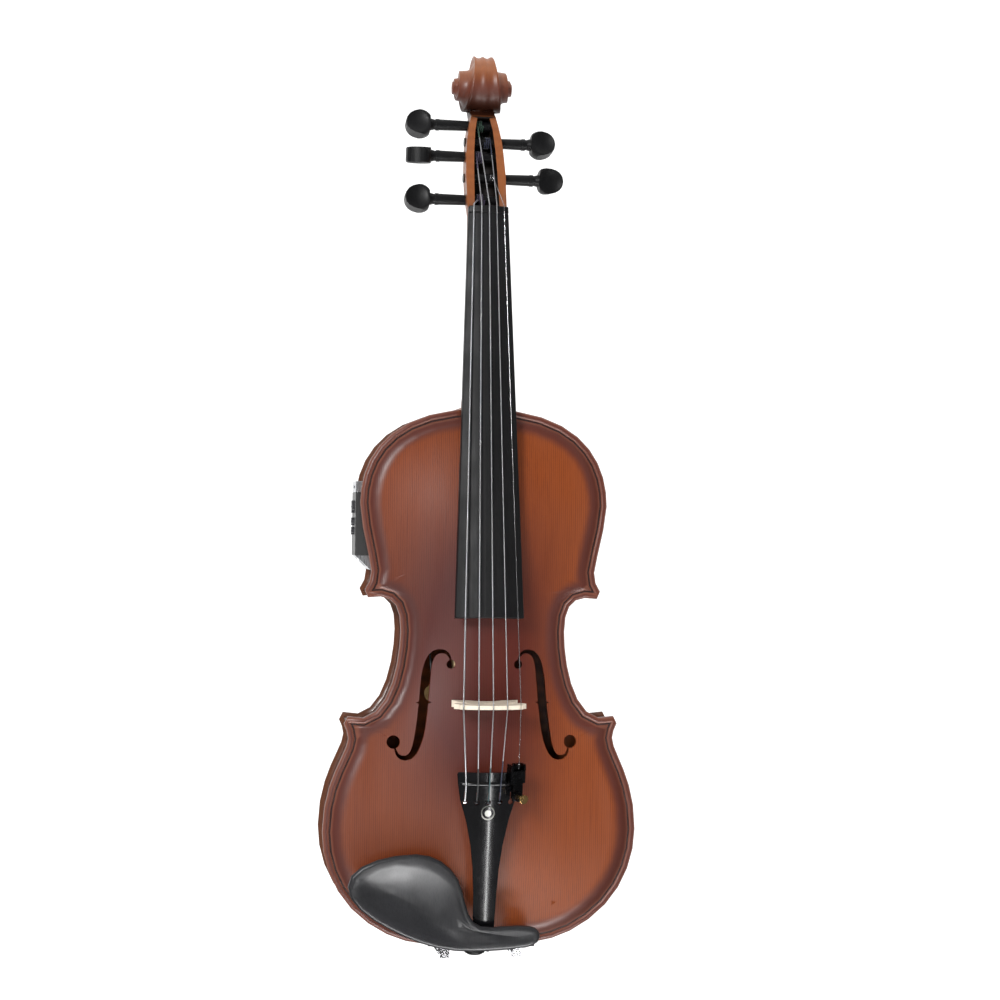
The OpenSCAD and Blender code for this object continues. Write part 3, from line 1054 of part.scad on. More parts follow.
// A piezo disc under the front beside the bass bar, and its lead to the preamp
piezo_x = -33;
piezo_z = bridge_z + 6;
piezo_tilt = atan((front_y(piezo_x - 4, piezo_z) - front_y(piezo_x + 4, piezo_z)) / 8);
module piezo_pickup() to_frame() color("#c9a24a")
    translate([piezo_x, front_y(piezo_x, piezo_z) + plate_t + 1.5, piezo_z])
    rotate([0, 0, -piezo_tilt]) rotate([90, 0, 0]) cylinder(r = 6, h = 0.8);
lead_r = 0.8;
lead_path = [[piezo_x, front_y(piezo_x, piezo_z) + plate_t + 2.6, piezo_z + 2],
    [piezo_x - 1, -2, piezo_z + 12], [piezo_x - 2, 4, piezo_z + 30], [-42, 9, piezo_z + 55],
    [-50, 12, mid_z0 - 8], [-54, 13, mid_z0 + 6], [-58, 14, mid_z0 + 13], [box_x1 + 0.35, 14, mid_z0 + 15]];
module pickup_lead() to_frame() color("#202020") tube(lead_path, lead_r, 8, [0.2, 1, 0]);

top_plate();
top_purfling();
back_plate();
back_purfling();
rib_upper_bass();
rib_upper_treble();
rib_middle_bass();
rib_middle_treble();
rib_lower();
linings();
corner_blocks();
top_block();
end_block();
bass_bar();
sound_post();
neck_and_scroll();
fingerboard();
nut();
saddle();
bridge();
tailpiece();
tailpiece_inlay();
tail_gut();
end_button();
string_1();
string_2();
string_3();
string_4();
string_5();
peg_1();
peg_2();
peg_3();
peg_4();
peg_5();
string_winding_1();
string_winding_2();
string_winding_3();
string_winding_4();
string_winding_5();
tuner_body();
tuner_lever();
tuner_screw_shank();
tuner_screw_head();
chin_rest();
chin_rest_cork();
clamp_studs();
clamp_barrel_bass();
clamp_barrel_treble();
clamp_foot();
clamp_foot_cork();
preamp_panel();
preamp_housing();
volume_knob();
bass_knob();
treble_knob();
battery_drawer();
coin_cell();
jack_socket();
piezo_pickup();
pickup_lead();
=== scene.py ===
"""Looks of a five-string electric violin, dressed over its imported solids.

Lengths are in metres. The origin is the hanging point under the scroll, +Z runs up the
neck, -Y is the front and +X is the treble side.
"""

import logging
import math
from dataclasses import dataclass, field
from enum import Enum
from typing import Callable, Iterable, Sequence

import bmesh
import bpy
from mathutils import Matrix, Vector, kdtree

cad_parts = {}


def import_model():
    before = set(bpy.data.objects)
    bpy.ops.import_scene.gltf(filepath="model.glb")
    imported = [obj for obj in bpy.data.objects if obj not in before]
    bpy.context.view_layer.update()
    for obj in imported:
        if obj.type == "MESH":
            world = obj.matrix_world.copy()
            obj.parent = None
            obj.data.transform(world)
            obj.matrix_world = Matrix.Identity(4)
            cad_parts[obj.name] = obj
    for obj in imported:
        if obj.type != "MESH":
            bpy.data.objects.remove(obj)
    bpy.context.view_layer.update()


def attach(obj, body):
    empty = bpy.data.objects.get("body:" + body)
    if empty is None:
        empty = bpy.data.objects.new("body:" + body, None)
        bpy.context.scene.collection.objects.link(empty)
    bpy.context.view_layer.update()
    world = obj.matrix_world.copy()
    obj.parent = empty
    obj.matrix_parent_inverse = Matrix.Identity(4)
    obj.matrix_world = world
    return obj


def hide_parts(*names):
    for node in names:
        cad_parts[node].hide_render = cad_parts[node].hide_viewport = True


LOG = logging.getLogger("violin")
MM = 0.001
RIM = Vector((0.0, -0.0235, -0.558))  # bottom edge of the body, front joint plane


def luthier(x: float, y: float, z: float) -> Vector:
    """Point given in millimetres from the body's bottom edge, in the row frame.

    Args:
        x: Across, towards the treble side.
        y: Back from the joint of front and ribs.
        z: Up from the bottom edge.

    Returns:
        The point in metres.
    """
    return RIM + Vector((x, y, z)) * MM


# --------------------------------------------------------------------------- finishes


class Recipe:
    """Small builder for one node material."""

    def __init__(self, name: str) -> None:
        """Starts an empty material with a Principled shader.

        Args:
            name: Name of the material.
        """
        self.material = bpy.data.materials.new(name)
        self.material.use_nodes = True
        self.tree = self.material.node_tree
        self.shader = self.tree.nodes["Principled BSDF"]
        self.coords = self.tree.nodes.new("ShaderNodeTexCoord")

    def node(self, kind: str, **values: object) -> bpy.types.Node:
        """Adds a node; values name its properties, or its sockets in capitals.

        Args:
            kind: Node type without the ShaderNode prefix.
            **values: Properties by name, or sockets as IN_0, IN_Scale and so on.

        Returns:
            The new node.
        """
        made = self.tree.nodes.new("ShaderNode" + kind)
        for key, value in values.items():
            if key.startswith("IN_"):
                socket = made.inputs[int(key[3:]) if key[3:].isdigit() else key[3:]]
                if isinstance(value, bpy.types.NodeSocket):
                    self.tree.links.new(value, socket)
                else:
                    socket.default_value = value
            else:
                setattr(made, key, value)
        return made

    def math(self, kind: str, first: object, second: object = 0.0, clamp: bool = False) -> bpy.types.NodeSocket:
        """One arithmetic step.

        Args:
            kind: Operation of the Math node.
            first: Number or socket.
            second: Number or socket.
            clamp: Whether the result is kept from 0 to 1.

        Returns:
            The result socket.
        """
        return self.node("Math", operation=kind, use_clamp=clamp, IN_0=first, IN_1=second).outputs[0]

    def at(self, scale: Sequence[float], shift: Sequence[float] = (0, 0, 0)) -> bpy.types.NodeSocket:
        """Object coordinates, moved and then scaled by axis."""
        moved = self.node("VectorMath", operation="SUBTRACT", IN_0=self.coords.outputs["Object"], IN_1=shift)
        return self.node("VectorMath", operation="MULTIPLY", IN_0=moved.outputs[0], IN_1=scale).outputs[0]

    def axis(self, letter: str) -> bpy.types.NodeSocket:
        """One object coordinate, in metres."""
        split = self.node("SeparateXYZ", IN_0=self.coords.outputs["Object"])
        return split.outputs["XYZ".index(letter)]

    def noise(self, scale: Sequence[float], detail: float = 3.0, rough: float = 0.55) -> bpy.types.NodeSocket:
        """Noise over stretched object coordinates, from 0 to 1."""
        return self.node("TexNoise", IN_Vector=self.at(scale), IN_Scale=1.0, IN_Detail=detail,
                         IN_Roughness=rough).outputs["Fac"]

    def attribute(self, name: str) -> bpy.types.NodeSocket:
        """A number stored on the mesh."""
        return self.node("Attribute", attribute_name=name).outputs["Fac"]

    def span(self, value: object, low: float, high: float, to_low: float = 0.0, to_high: float = 1.0) -> bpy.types.NodeSocket:
        """Value moved smoothly from one range to another, and clamped."""
        return self.node("MapRange", interpolation_type="SMOOTHSTEP", IN_Value=value, **{
            "IN_From Min": low, "IN_From Max": high, "IN_To Min": to_low, "IN_To Max": to_high}).outputs[0]

    def blend(self, amount: object, first: object, second: object, kind: str = "MIX") -> bpy.types.NodeSocket:
        """Mixes two colours.

        Args:
            amount: Number or socket, 0 for the first.
            first: Colour or socket.
            second: Colour or socket.
            kind: Blend type.

        Returns:
            The colour socket.
        """
        mixed = self.node("Mix", data_type="RGBA", blend_type=kind, IN_0=amount)
        for slot, value in ((6, first), (7, second)):
            if isinstance(value, bpy.types.NodeSocket):
                self.tree.links.new(value, mixed.inputs[slot])
            else:
                mixed.inputs[slot].default_value = (*value, 1.0)
        return mixed.outputs[2]

    def set(self, **sockets: object) -> None:
        """Sets or links the shader's sockets; an underscore stands for a space."""
        for key, value in sockets.items():
            socket = self.shader.inputs[key.replace("_", " ")]
            if isinstance(value, bpy.types.NodeSocket):
                self.tree.links.new(value, socket)
            else:
                socket.default_value = (*value, 1.0) if isinstance(value, tuple) and len(value) == 3 else value

    def bump(self, height: bpy.types.NodeSocket, strength: float, depth: float) -> None:
        """Relief from a height.

        Args:
            height: Height socket, from 0 to 1.
            strength: Strength of the relief.
            depth: Depth in metres.
        """
        node = self.node("Bump", IN_Strength=strength, IN_Distance=depth, IN_Height=height)
        self.set(Normal=node.outputs[0])


@dataclass(frozen=True)
class SpruceFront:
    """Varnished spruce with close upright grain, a darker edge band and a painted highlight on the rounded edge."""

    name: str = "spruce_varnish"
    light: tuple[float, float, float] = (0.225, 0.047, 0.0075)
    deep: tuple[float, float, float] = (0.080, 0.0125, 0.009)
    line: tuple[float, float, float] = (0.060, 0.010, 0.004)
    edge: tuple[float, float, float] = (0.072, 0.019, 0.015)
    # rim: painted highlight where the rounded edge catches light, laid on the outer 0.4 to 1.7 mm
    rim: tuple[float, float, float] = (0.19, 0.065, 0.040)
    spacing: float = 0.0014

    def make(self) -> bpy.types.Material:
        """Builds the material."""
        r = Recipe(self.name)
        drift = r.math("ADD", r.math("MULTIPLY", r.noise((14, 14, 3), 2), 16.0),
                       r.math("MULTIPLY", r.noise((260, 260, 5), 2), 5.0))
        phase = r.math("ADD", r.math("MULTIPLY", r.axis("X"), 2 * math.pi / self.spacing), drift)
        wave = r.math("SINE", phase)
        lines = r.math("POWER", r.math("MULTIPLY", r.math("ADD", wave, 1.0), 0.5), 2.4)
        broken = r.math("MULTIPLY", lines, r.span(r.noise((700, 700, 22), 2), 0.3, 0.7, 0.45, 1.0))
        fibre = r.noise((2600, 2600, 45), 3, 0.7)
        middle = r.node("TexGradient", gradient_type="SPHERICAL",
                        IN_Vector=r.at((1 / 0.085, 0, 1 / 0.17), (-0.004, 0, -0.372))).outputs["Fac"]
        left = r.span(r.axis("X"), -0.10, 0.09, 1.0, 0.0)
        shade = r.math("ADD", r.span(middle, 0.0, 0.85), r.math("MULTIPLY", left, 0.28), True)
        cloudy = r.math("ADD", shade, r.math("MULTIPLY", r.math("SUBTRACT", r.noise((9, 9, 5), 3), 0.5), 0.5), True)
        base = r.blend(cloudy, self.light, self.deep)
        grained = r.blend(r.math("MULTIPLY", broken, 0.62), base, self.line)
        streaked = r.blend(r.math("MULTIPLY", r.span(fibre, 0.45, 0.8), 0.25), grained, self.line)
        edge = r.attribute("edge")
        soft = r.math("ADD", edge, r.math("MULTIPLY", r.math("SUBTRACT", r.noise((120, 120, 60), 2), 0.5), 1.6))
        banded = r.blend(r.span(soft, 4.2, 10.5, 0.86, 0.0), streaked, self.edge)
        # Painted highlight: the outer 0.4 to 1.7 mm of the edge is lightened towards rim.
        painted_rim_highlight = r.blend(r.span(edge, 0.4, 1.7, 0.75, 0.0), banded, self.rim)
        r.set(Base_Color=painted_rim_highlight, Roughness=r.span(r.noise((60, 60, 20), 2), 0.2, 0.8, 0.34, 0.42),
              Specular_IOR_Level=0.42, Coat_Weight=0.05, Coat_Roughness=0.2)
        r.bump(r.math("ADD", broken, r.math("MULTIPLY", fibre, 0.4)), 0.25, 0.00008)
        return r.material


@dataclass(frozen=True)
class FlamedMaple:
    """Varnished maple whose figure crosses the grain."""

    name: str
    light: tuple[float, float, float] = (0.22, 0.062, 0.018)
    dark: tuple[float, float, float] = (0.075, 0.018, 0.009)
    across: str = "Z"
    period: float = 0.0085
    flame: float = 0.6
    edged: bool = False
    # red: red-brown of the painted half shade low on the scroll
    red: tuple[float, float, float] = (0.105, 0.024, 0.013)
    # scroll: paints shade over the scroll by height
    scroll: bool = False

    def make(self) -> bpy.types.Material:
        """Builds the material."""
        r = Recipe(self.name)
        wander = r.math("MULTIPLY", r.noise((42, 42, 26), 2), 9.0)
        phase = r.math("ADD", r.math("MULTIPLY", r.axis(self.across), 2 * math.pi / self.period), wander)
        stripe = r.math("MULTIPLY", r.math("ADD", r.math("SINE", phase), 1.0), 0.5)
        patchy = r.math("MULTIPLY", stripe, r.span(r.noise((30, 30, 18), 2), 0.3, 0.7, 0.25, 1.0))
        stretch = {"Z": (900, 900, 40), "X": (900, 900, 40), "Y": (70, 900, 70)}[self.across]
        fibre = r.noise(stretch, 3, 0.65)
        colour = r.blend(r.math("MULTIPLY", patchy, self.flame), self.light, self.dark)
        colour = r.blend(r.math("MULTIPLY", r.span(fibre, 0.4, 0.75), 0.35), colour, self.dark)
        if self.scroll:
            # Painted shade on the scroll by height: the maple colour at the top, red-brown lower down, near black at
            # the bottom.
            height = r.axis("Z")
            painted_scroll_shade = r.blend(r.span(height, 0.015, 0.032), self.red, colour)
            # Painted shadow under the volute: full below 0.004 m, gone by 0.017 m.
            low = r.span(height, 0.004, 0.017, 1.0, 0.0)
            painted_scroll_shade = r.blend(low, painted_scroll_shade, (0.014, 0.004, 0.003))
            on_scroll = r.span(height, -0.005, 0.0, 0.0, 0.95)
            colour = r.blend(on_scroll, colour, painted_scroll_shade)
            colour = r.blend(r.attribute("inside"), colour, (0.006, 0.003, 0.002))
            # The painted shadow also lowers the specular level.
            dull = r.math("MULTIPLY", r.math("MULTIPLY", low, on_scroll), 0.45)
            r.set(Specular_IOR_Level=r.math("SUBTRACT", 0.5, dull))
        if self.edged:
            edge = r.attribute("edge")
            colour = r.blend(r.span(edge, 3.5, 11.0, 0.7, 0.0), colour, (0.035, 0.010, 0.008))
            # Painted highlight: the outer 0.4 to 1.7 mm of the back's rounded edge is lightened.
            colour = r.blend(r.span(edge, 0.4, 1.7, 0.7, 0.0), colour, (0.12, 0.042, 0.019))
        r.set(Base_Color=colour, Roughness=0.42 if self.scroll else 0.3, Coat_Weight=0.05 if self.scroll else 0.2,
              Coat_Roughness=0.2)
        r.bump(r.math("ADD", fibre, patchy), 0.12, 0.00006)
        return r.material


@dataclass(frozen=True)
class DarkWood:
    """Blackened hardwood, matt to polished."""

    name: str
    colour: tuple[float, float, float] = (0.006, 0.006, 0.0065)
    pore: tuple[float, float, float] = (0.002, 0.002, 0.0025)
    rough: float = 0.35
    coat: float = 0.0
    grain: float = 0.3
    shine: float = 0.5
    dot: tuple[float, float, float] | None = None

    def make(self) -> bpy.types.Material:
        """Builds the material; a dot is a pearl's X, Z and radius."""
        r = Recipe(self.name)
        pores = r.span(r.noise((1500, 1500, 60), 3, 0.7), 0.42, 0.7)
        cloud = r.noise((45, 45, 12), 3)
        worn = r.blend(r.span(cloud, 0.4, 0.75, 0.0, 0.5), self.colour, tuple(c * 1.7 for c in self.colour))
        colour = r.blend(r.math("MULTIPLY", pores, 0.7), worn, self.pore)
        if self.dot:
            x, z, radius = self.dot
            away = r.node("VectorMath", operation="LENGTH", IN_0=r.at((1, 0, 1), (x, 0, z))).outputs["Value"]
            colour = r.blend(r.span(away, radius * 0.94, radius, 1.0, 0.0), colour, (0.50, 0.50, 0.46))
        r.set(Base_Color=colour,
              Roughness=r.span(r.noise((90, 90, 50), 3), 0.25, 0.75, self.rough * 0.85, self.rough * 1.15),
              Specular_IOR_Level=self.shine, Coat_Weight=self.coat, Coat_Roughness=0.06)
        r.bump(pores, self.grain, 0.00005)
        return r.material


@dataclass(frozen=True)
class PaleWood:
    """Unvarnished wood with fine flecks."""

    name: str
    colour: tuple[float, float, float] = (0.72, 0.60, 0.40)
    fleck: tuple[float, float, float] = (0.45, 0.31, 0.17)
    rough: float = 0.5
    fleck_share: float = 0.5

    def make(self) -> bpy.types.Material:
        """Builds the material."""
        r = Recipe(self.name)
        flecks = r.span(r.noise((700, 900, 2600), 2, 0.6), 0.56, 0.7)
        growth = r.noise((260, 260, 18), 3)
        colour = r.blend(r.math("MULTIPLY", flecks, self.fleck_share), self.colour, self.fleck)
        r.set(Base_Color=r.blend(r.span(growth, 0.4, 0.8, 0.0, 0.35), colour, self.fleck), Roughness=self.rough)
        r.bump(flecks, 0.2, 0.00004)
        return r.material


@dataclass(frozen=True)
class Metal:
    """Turned, plated or brushed metal."""

    name: str
    colour: tuple[float, float, float] = (0.72, 0.72, 0.74)
    rough: float = 0.22
    brushed: Sequence[float] = (300, 300, 300)

    def make(self) -> bpy.types.Material:
        """Builds the material."""
        r = Recipe(self.name)
        marks = r.noise(tuple(self.brushed), 3, 0.6)
        r.set(Base_Color=r.blend(r.span(marks, 0.5, 0.8, 0.0, 0.4), self.colour, tuple(c * 0.6 for c in self.colour)),
              Metallic=1.0, Roughness=r.span(marks, 0.3, 0.8, self.rough * 0.7, self.rough * 1.5))
        r.bump(marks, 0.15, 0.00003)
        return r.material


@dataclass(frozen=True)
class WoundString:
    """Round-wound string metal with the ribs of its wrap."""

    name: str
    colour: tuple[float, float, float] = (0.60, 0.60, 0.62)
    pitch: float = 0.00034

    def make(self) -> bpy.types.Material:
        """Builds the material."""
        r = Recipe(self.name)
        wrap = r.math("MULTIPLY", r.math("ADD", r.math("SINE", r.math(
            "MULTIPLY", r.axis("Z"), 2 * math.pi / self.pitch)), 1.0), 0.5)
        r.set(Base_Color=r.blend(wrap, self.colour, tuple(c * 0.55 for c in self.colour)),
              Metallic=1.0, Roughness=0.32)
        r.bump(wrap, 0.5, 0.00005)
        return r.material


@dataclass(frozen=True)
class Silk:
    """Coloured thread wound round the end of a string."""

    name: str
    colour: tuple[float, float, float]

    def make(self) -> bpy.types.Material:
        """Builds the material."""
        r = Recipe(self.name)
        thread = r.math("MULTIPLY", r.math("ADD", r.math("SINE", r.math(
            "MULTIPLY", r.axis("Z"), 2 * math.pi / 0.0003)), 1.0), 0.5)
        r.set(Base_Color=r.blend(r.math("MULTIPLY", thread, 0.6), self.colour, tuple(c * 0.4 for c in self.colour)),
              Roughness=0.6, Sheen_Weight=0.3)
        r.bump(thread, 0.6, 0.00005)
        return r.material


@dataclass(frozen=True)
class Plastic:
    """Moulded plastic with a fine skin."""

    name: str
    colour: tuple[float, float, float] = (0.012, 0.012, 0.013)
    rough: float = 0.35

    def make(self) -> bpy.types.Material:
        """Builds the material."""
        r = Recipe(self.name)
        skin = r.noise((3200, 3200, 3200), 2)
        dust = r.noise((110, 110, 110), 3)
        r.set(Base_Color=r.blend(r.span(dust, 0.5, 0.8, 0.0, 0.3), self.colour, tuple(c * 1.8 + 0.002 for c in self.colour)),
              Roughness=r.span(dust, 0.2, 0.8, self.rough * 0.85, self.rough * 1.2))
        r.bump(skin, 0.12, 0.00003)
        return r.material


@dataclass(frozen=True)
class Cork:
    """Pressed cork with dark grains."""

    name: str = "pressed_cork"

    def make(self) -> bpy.types.Material:
        """Builds the material."""
        r = Recipe(self.name)
        grains = r.node("TexVoronoi", IN_Vector=r.at((1, 1, 1)), IN_Scale=900.0).outputs["Distance"]
        r.set(Base_Color=r.blend(r.span(grains, 0.1, 0.7), (0.45, 0.27, 0.13), (0.16, 0.08, 0.035)), Roughness=0.85)
        r.bump(grains, 0.5, 0.0002)
        return r.material


class Finish(Enum):
    """Every finish on the instrument, each built once."""

    SPRUCE = SpruceFront()
    BACK = FlamedMaple("back_maple", edged=True, across="Z", period=0.0095)
    RIBS = FlamedMaple("rib_maple", light=(0.078, 0.022, 0.009), dark=(0.028, 0.008, 0.004), flame=0.5)
    NECK = FlamedMaple("neck_maple", light=(0.24, 0.072, 0.017), dark=(0.14, 0.035, 0.009), flame=0.35,
                       period=0.007, scroll=True)
    EBONY = DarkWood("peg_ebony", colour=(0.004, 0.004, 0.0045), pore=(0.002, 0.002, 0.002), rough=0.42, shine=0.25)
    CHIN = DarkWood("chin_rest_ebony", colour=(0.018, 0.018, 0.020), pore=(0.009, 0.009, 0.010), rough=0.33, grain=0.05)
    BOARD = DarkWood("board_ebony", colour=(0.006, 0.006, 0.0065), pore=(0.003, 0.003, 0.0035), rough=0.5, grain=0.2,
                     shine=0.25)
    EYED = DarkWood("eyed_ebony", colour=(0.003, 0.003, 0.0035), rough=0.17, coat=0.2, grain=0.04,
                    dot=(0.0, -0.4668, 0.0022))
    BRIDGE = PaleWood("bridge_maple", colour=(0.74, 0.66, 0.54), fleck=(0.46, 0.34, 0.22))
    INNER = PaleWood("bare_inner_wood", colour=(0.62, 0.45, 0.26), fleck=(0.42, 0.27, 0.13))
    PURFLING = DarkWood("purfling", colour=(0.030, 0.011, 0.009), rough=0.35)
    WOUND = WoundString("wound_string")
    PLAIN = Metal("plain_string", colour=(0.66, 0.66, 0.68), rough=0.2)
    SILK_TEAL = Silk("teal_silk", (0.006, 0.050, 0.054))
    SILK_BLUE = Silk("blue_silk", (0.006, 0.012, 0.045))
    SILK_GREEN = Silk("green_silk", (0.008, 0.055, 0.028))
    SILK_VIOLET = Silk("violet_silk", (0.035, 0.020, 0.060))
    SILK_BLACK = Silk("black_silk", (0.006, 0.006, 0.007))
    SILVER = Metal("plated_steel", colour=(0.66, 0.66, 0.68), rough=0.2)
    SATIN = Metal("satin_aluminium", colour=(0.6, 0.61, 0.63), rough=0.34, brushed=(1800, 1800, 60))
    GOLD = Metal("gilt_screw", colour=(0.78, 0.5, 0.2), rough=0.22)
    DULL_BRASS = Metal("dull_brass", colour=(0.10, 0.065, 0.03), rough=0.6)
    BLACKED = Metal("blackened_steel", colour=(0.03, 0.03, 0.032), rough=0.28)
    PANEL = Plastic("panel_plastic")
    KNOB = Plastic("knob_plastic", colour=(0.02, 0.02, 0.022), rough=0.25)
    CORD = Plastic("tail_cord", colour=(0.012, 0.012, 0.012), rough=0.45)
    INLAY = Plastic("shell_inlay", colour=(0.48, 0.48, 0.44), rough=0.2)
    CORK = Cork()

    def material(self) -> bpy.types.Material:
        """The finish's material, made at its first use."""
        made = bpy.data.materials.get(self.value.name)
        return made or self.value.make()


# --------------------------------------------------------------------------- mesh helpers


def cad_copy(node: str) -> bmesh.types.BMesh:
    """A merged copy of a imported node's mesh.

    Args:
        node: Name of the node.

    Returns:
        A bmesh with its flat runs of triangles dissolved.
    """
    bm = bmesh.new()
    bm.from_mesh(bpy.data.objects[node].data)
    bmesh.ops.remove_doubles(bm, verts=bm.verts, dist=1e-6)
    return bm


def shaped(name: str, bm: bmesh.types.BMesh, finish: Finish, sharp: float | None = 35.0) -> bpy.types.Object:
    """Makes an object of a bmesh, at the origin, and frees the bmesh.

    Args:
        name: Name of the piece.
        bm: Its mesh, in the row frame.
        finish: Its finish.
        sharp: Angle in degrees above which an edge stays sharp, or None for flat faces.

    Returns:
        The linked object.
    """
    mesh = bpy.data.meshes.new(name)
    bm.to_mesh(mesh)
    bm.free()
    if sharp is not None:
        mesh.polygons.foreach_set("use_smooth", [True] * len(mesh.polygons))
        mesh.set_sharp_from_angle(angle=math.radians(sharp))
    piece = bpy.data.objects.new(name, mesh)
    bpy.context.scene.collection.objects.link(piece)
    piece.data.materials.append(finish.material())
    return piece


def softened(piece: bpy.types.Object, width: float, segments: int = 2, angle: float = 32.0) -> bpy.types.Object:
    """Rounds a piece's sharp edges.

    Args:
        piece: The piece.
        width: Width of the rounding in metres.
        segments: Faces across it.
        angle: Least angle of an edge that is rounded, in degrees.

    Returns:
        The same piece.
    """
    bevel = piece.modifiers.new("edges", "BEVEL")
    bevel.width, bevel.segments, bevel.limit_method = width, segments, "ANGLE"
    bevel.angle_limit, bevel.harden_normals = math.radians(angle), True
    return piece


def placed(piece: bpy.types.Object, body: str, slot: str, *nodes: str) -> bpy.types.Object:
    """Ties a piece to its body and hides the nodes that it stands for."""
    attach(piece, body)
    if nodes:
        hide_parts(*nodes)
    LOG.info("%s rides on %s", piece.name, body)
    return piece


def tube(name: str, path: Sequence[Vector], radius: float, finish: Finish, sides: int = 3,
         rounded: bool = False) -> bpy.types.Object:
    """A round wire along a line of points, made a mesh.

    Args:
        name: Name of the piece.
        path: Points of the centre line.
        radius: Radius of the wire.
        finish: Its finish.
        sides: Resolution of its section; a section has 4 + 2 * sides corners.
        rounded: Whether the line is a smooth curve through the points.

    Returns:
        The mesh object.
    """
    curve = bpy.data.curves.new(name, "CURVE")
    curve.dimensions, curve.bevel_depth, curve.bevel_resolution = "3D", radius, sides
    curve.use_fill_caps, curve.resolution_u = True, 8
    line = curve.splines.new("BEZIER" if rounded else "POLY")
    if rounded:
        line.bezier_points.add(len(path) - 1)
        for knot, point in zip(line.bezier_points, path):
            knot.co, knot.handle_left_type, knot.handle_right_type = point, "AUTO", "AUTO"
    else:
        line.points.add(len(path) - 1)
        for knot, point in zip(line.points, path):
            knot.co = (*point, 1.0)
    holder = bpy.data.objects.new(name + "_line", curve)
    bpy.context.scene.collection.objects.link(holder)
    mesh = bpy.data.meshes.new_from_object(holder.evaluated_get(bpy.context.evaluated_depsgraph_get()))
    bpy.data.objects.remove(holder)
    mesh.name = name
    mesh.materials.clear()
    mesh.materials.append(finish.material())
    mesh.polygons.foreach_set("use_smooth", [True] * len(mesh.polygons))
    piece = bpy.data.objects.new(name, mesh)
    bpy.context.scene.collection.objects.link(piece)
    return piece


def lathe(profile: Sequence[tuple[float, float]], origin: Vector, axis: Vector, steps: int = 40) -> bmesh.types.BMesh:
    """Turns a profile round an axis.

    Args:
        profile: Pairs of radius and distance along the axis, in metres.
        origin: Point on the axis.
        axis: Direction of the axis.
        steps: Steps of the full turn.

    Returns:
        The turned mesh.
    """
    bm = bmesh.new()
    ring = [bm.verts.new((radius, 0.0, along)) for radius, along in profile]
    edges = [bm.edges.new(pair) for pair in zip(ring, ring[1:])]
    bmesh.ops.spin(bm, geom=ring + edges, cent=(0, 0, 0), axis=(0, 0, 1), angle=2 * math.pi, steps=steps, use_merge=True)
    bmesh.ops.remove_doubles(bm, verts=bm.verts, dist=1e-7)
    bmesh.ops.recalc_face_normals(bm, faces=bm.faces)
    turn = Vector((0, 0, 1)).rotation_difference(axis.normalized()).to_matrix().to_4x4()
    bmesh.ops.transform(bm, matrix=Matrix.Translation(origin) @ turn, verts=bm.verts)
    return bm


# --------------------------------------------------------------------------- the body


@dataclass
class Arch:
    """Height of an arched plate over the ribs, in millimetres."""

    rise: float
    flute: float = 3.6
    length: float = 356.0
    half_lower: float = 100.0
    half_waist: float = 50.0
    half_upper: float = 78.0

    @staticmethod
    def ease(t: float) -> float:
        """Smooth step from 0 to 1."""
        return (1 - math.cos(math.pi * min(1.0, max(0.0, t)))) / 2

    def reach(self, z: float) -> float:
        """Half width of the arch at a height."""
        low, waist, up = 75.0, self.length - 154, self.length - 64
        if z < low:
            return self.half_lower * math.sqrt(max(0.0004, 1 - ((low - z) / (low - 4)) ** 2))
        if z < waist:
            return self.half_lower + (self.half_waist - self.half_lower) * self.ease((z - low) / (waist - low))
        if z < up:
            return self.half_waist + (self.half_upper - self.half_waist) * self.ease((z - waist) / (up - waist))
        return self.half_upper * math.sqrt(max(0.0004, 1 - ((z - up) / (self.length - 4 - up)) ** 2))

    def swell(self, x: float, z: float) -> float:
        """Height over the ribs at a place."""
        v = min(1.0, abs(z - self.length / 2) / (self.length / 2 - 5))
        return self.flute + (self.rise - self.flute) * self.ease(1 - abs(x) / self.reach(z)) * self.ease(1 - v ** 3)


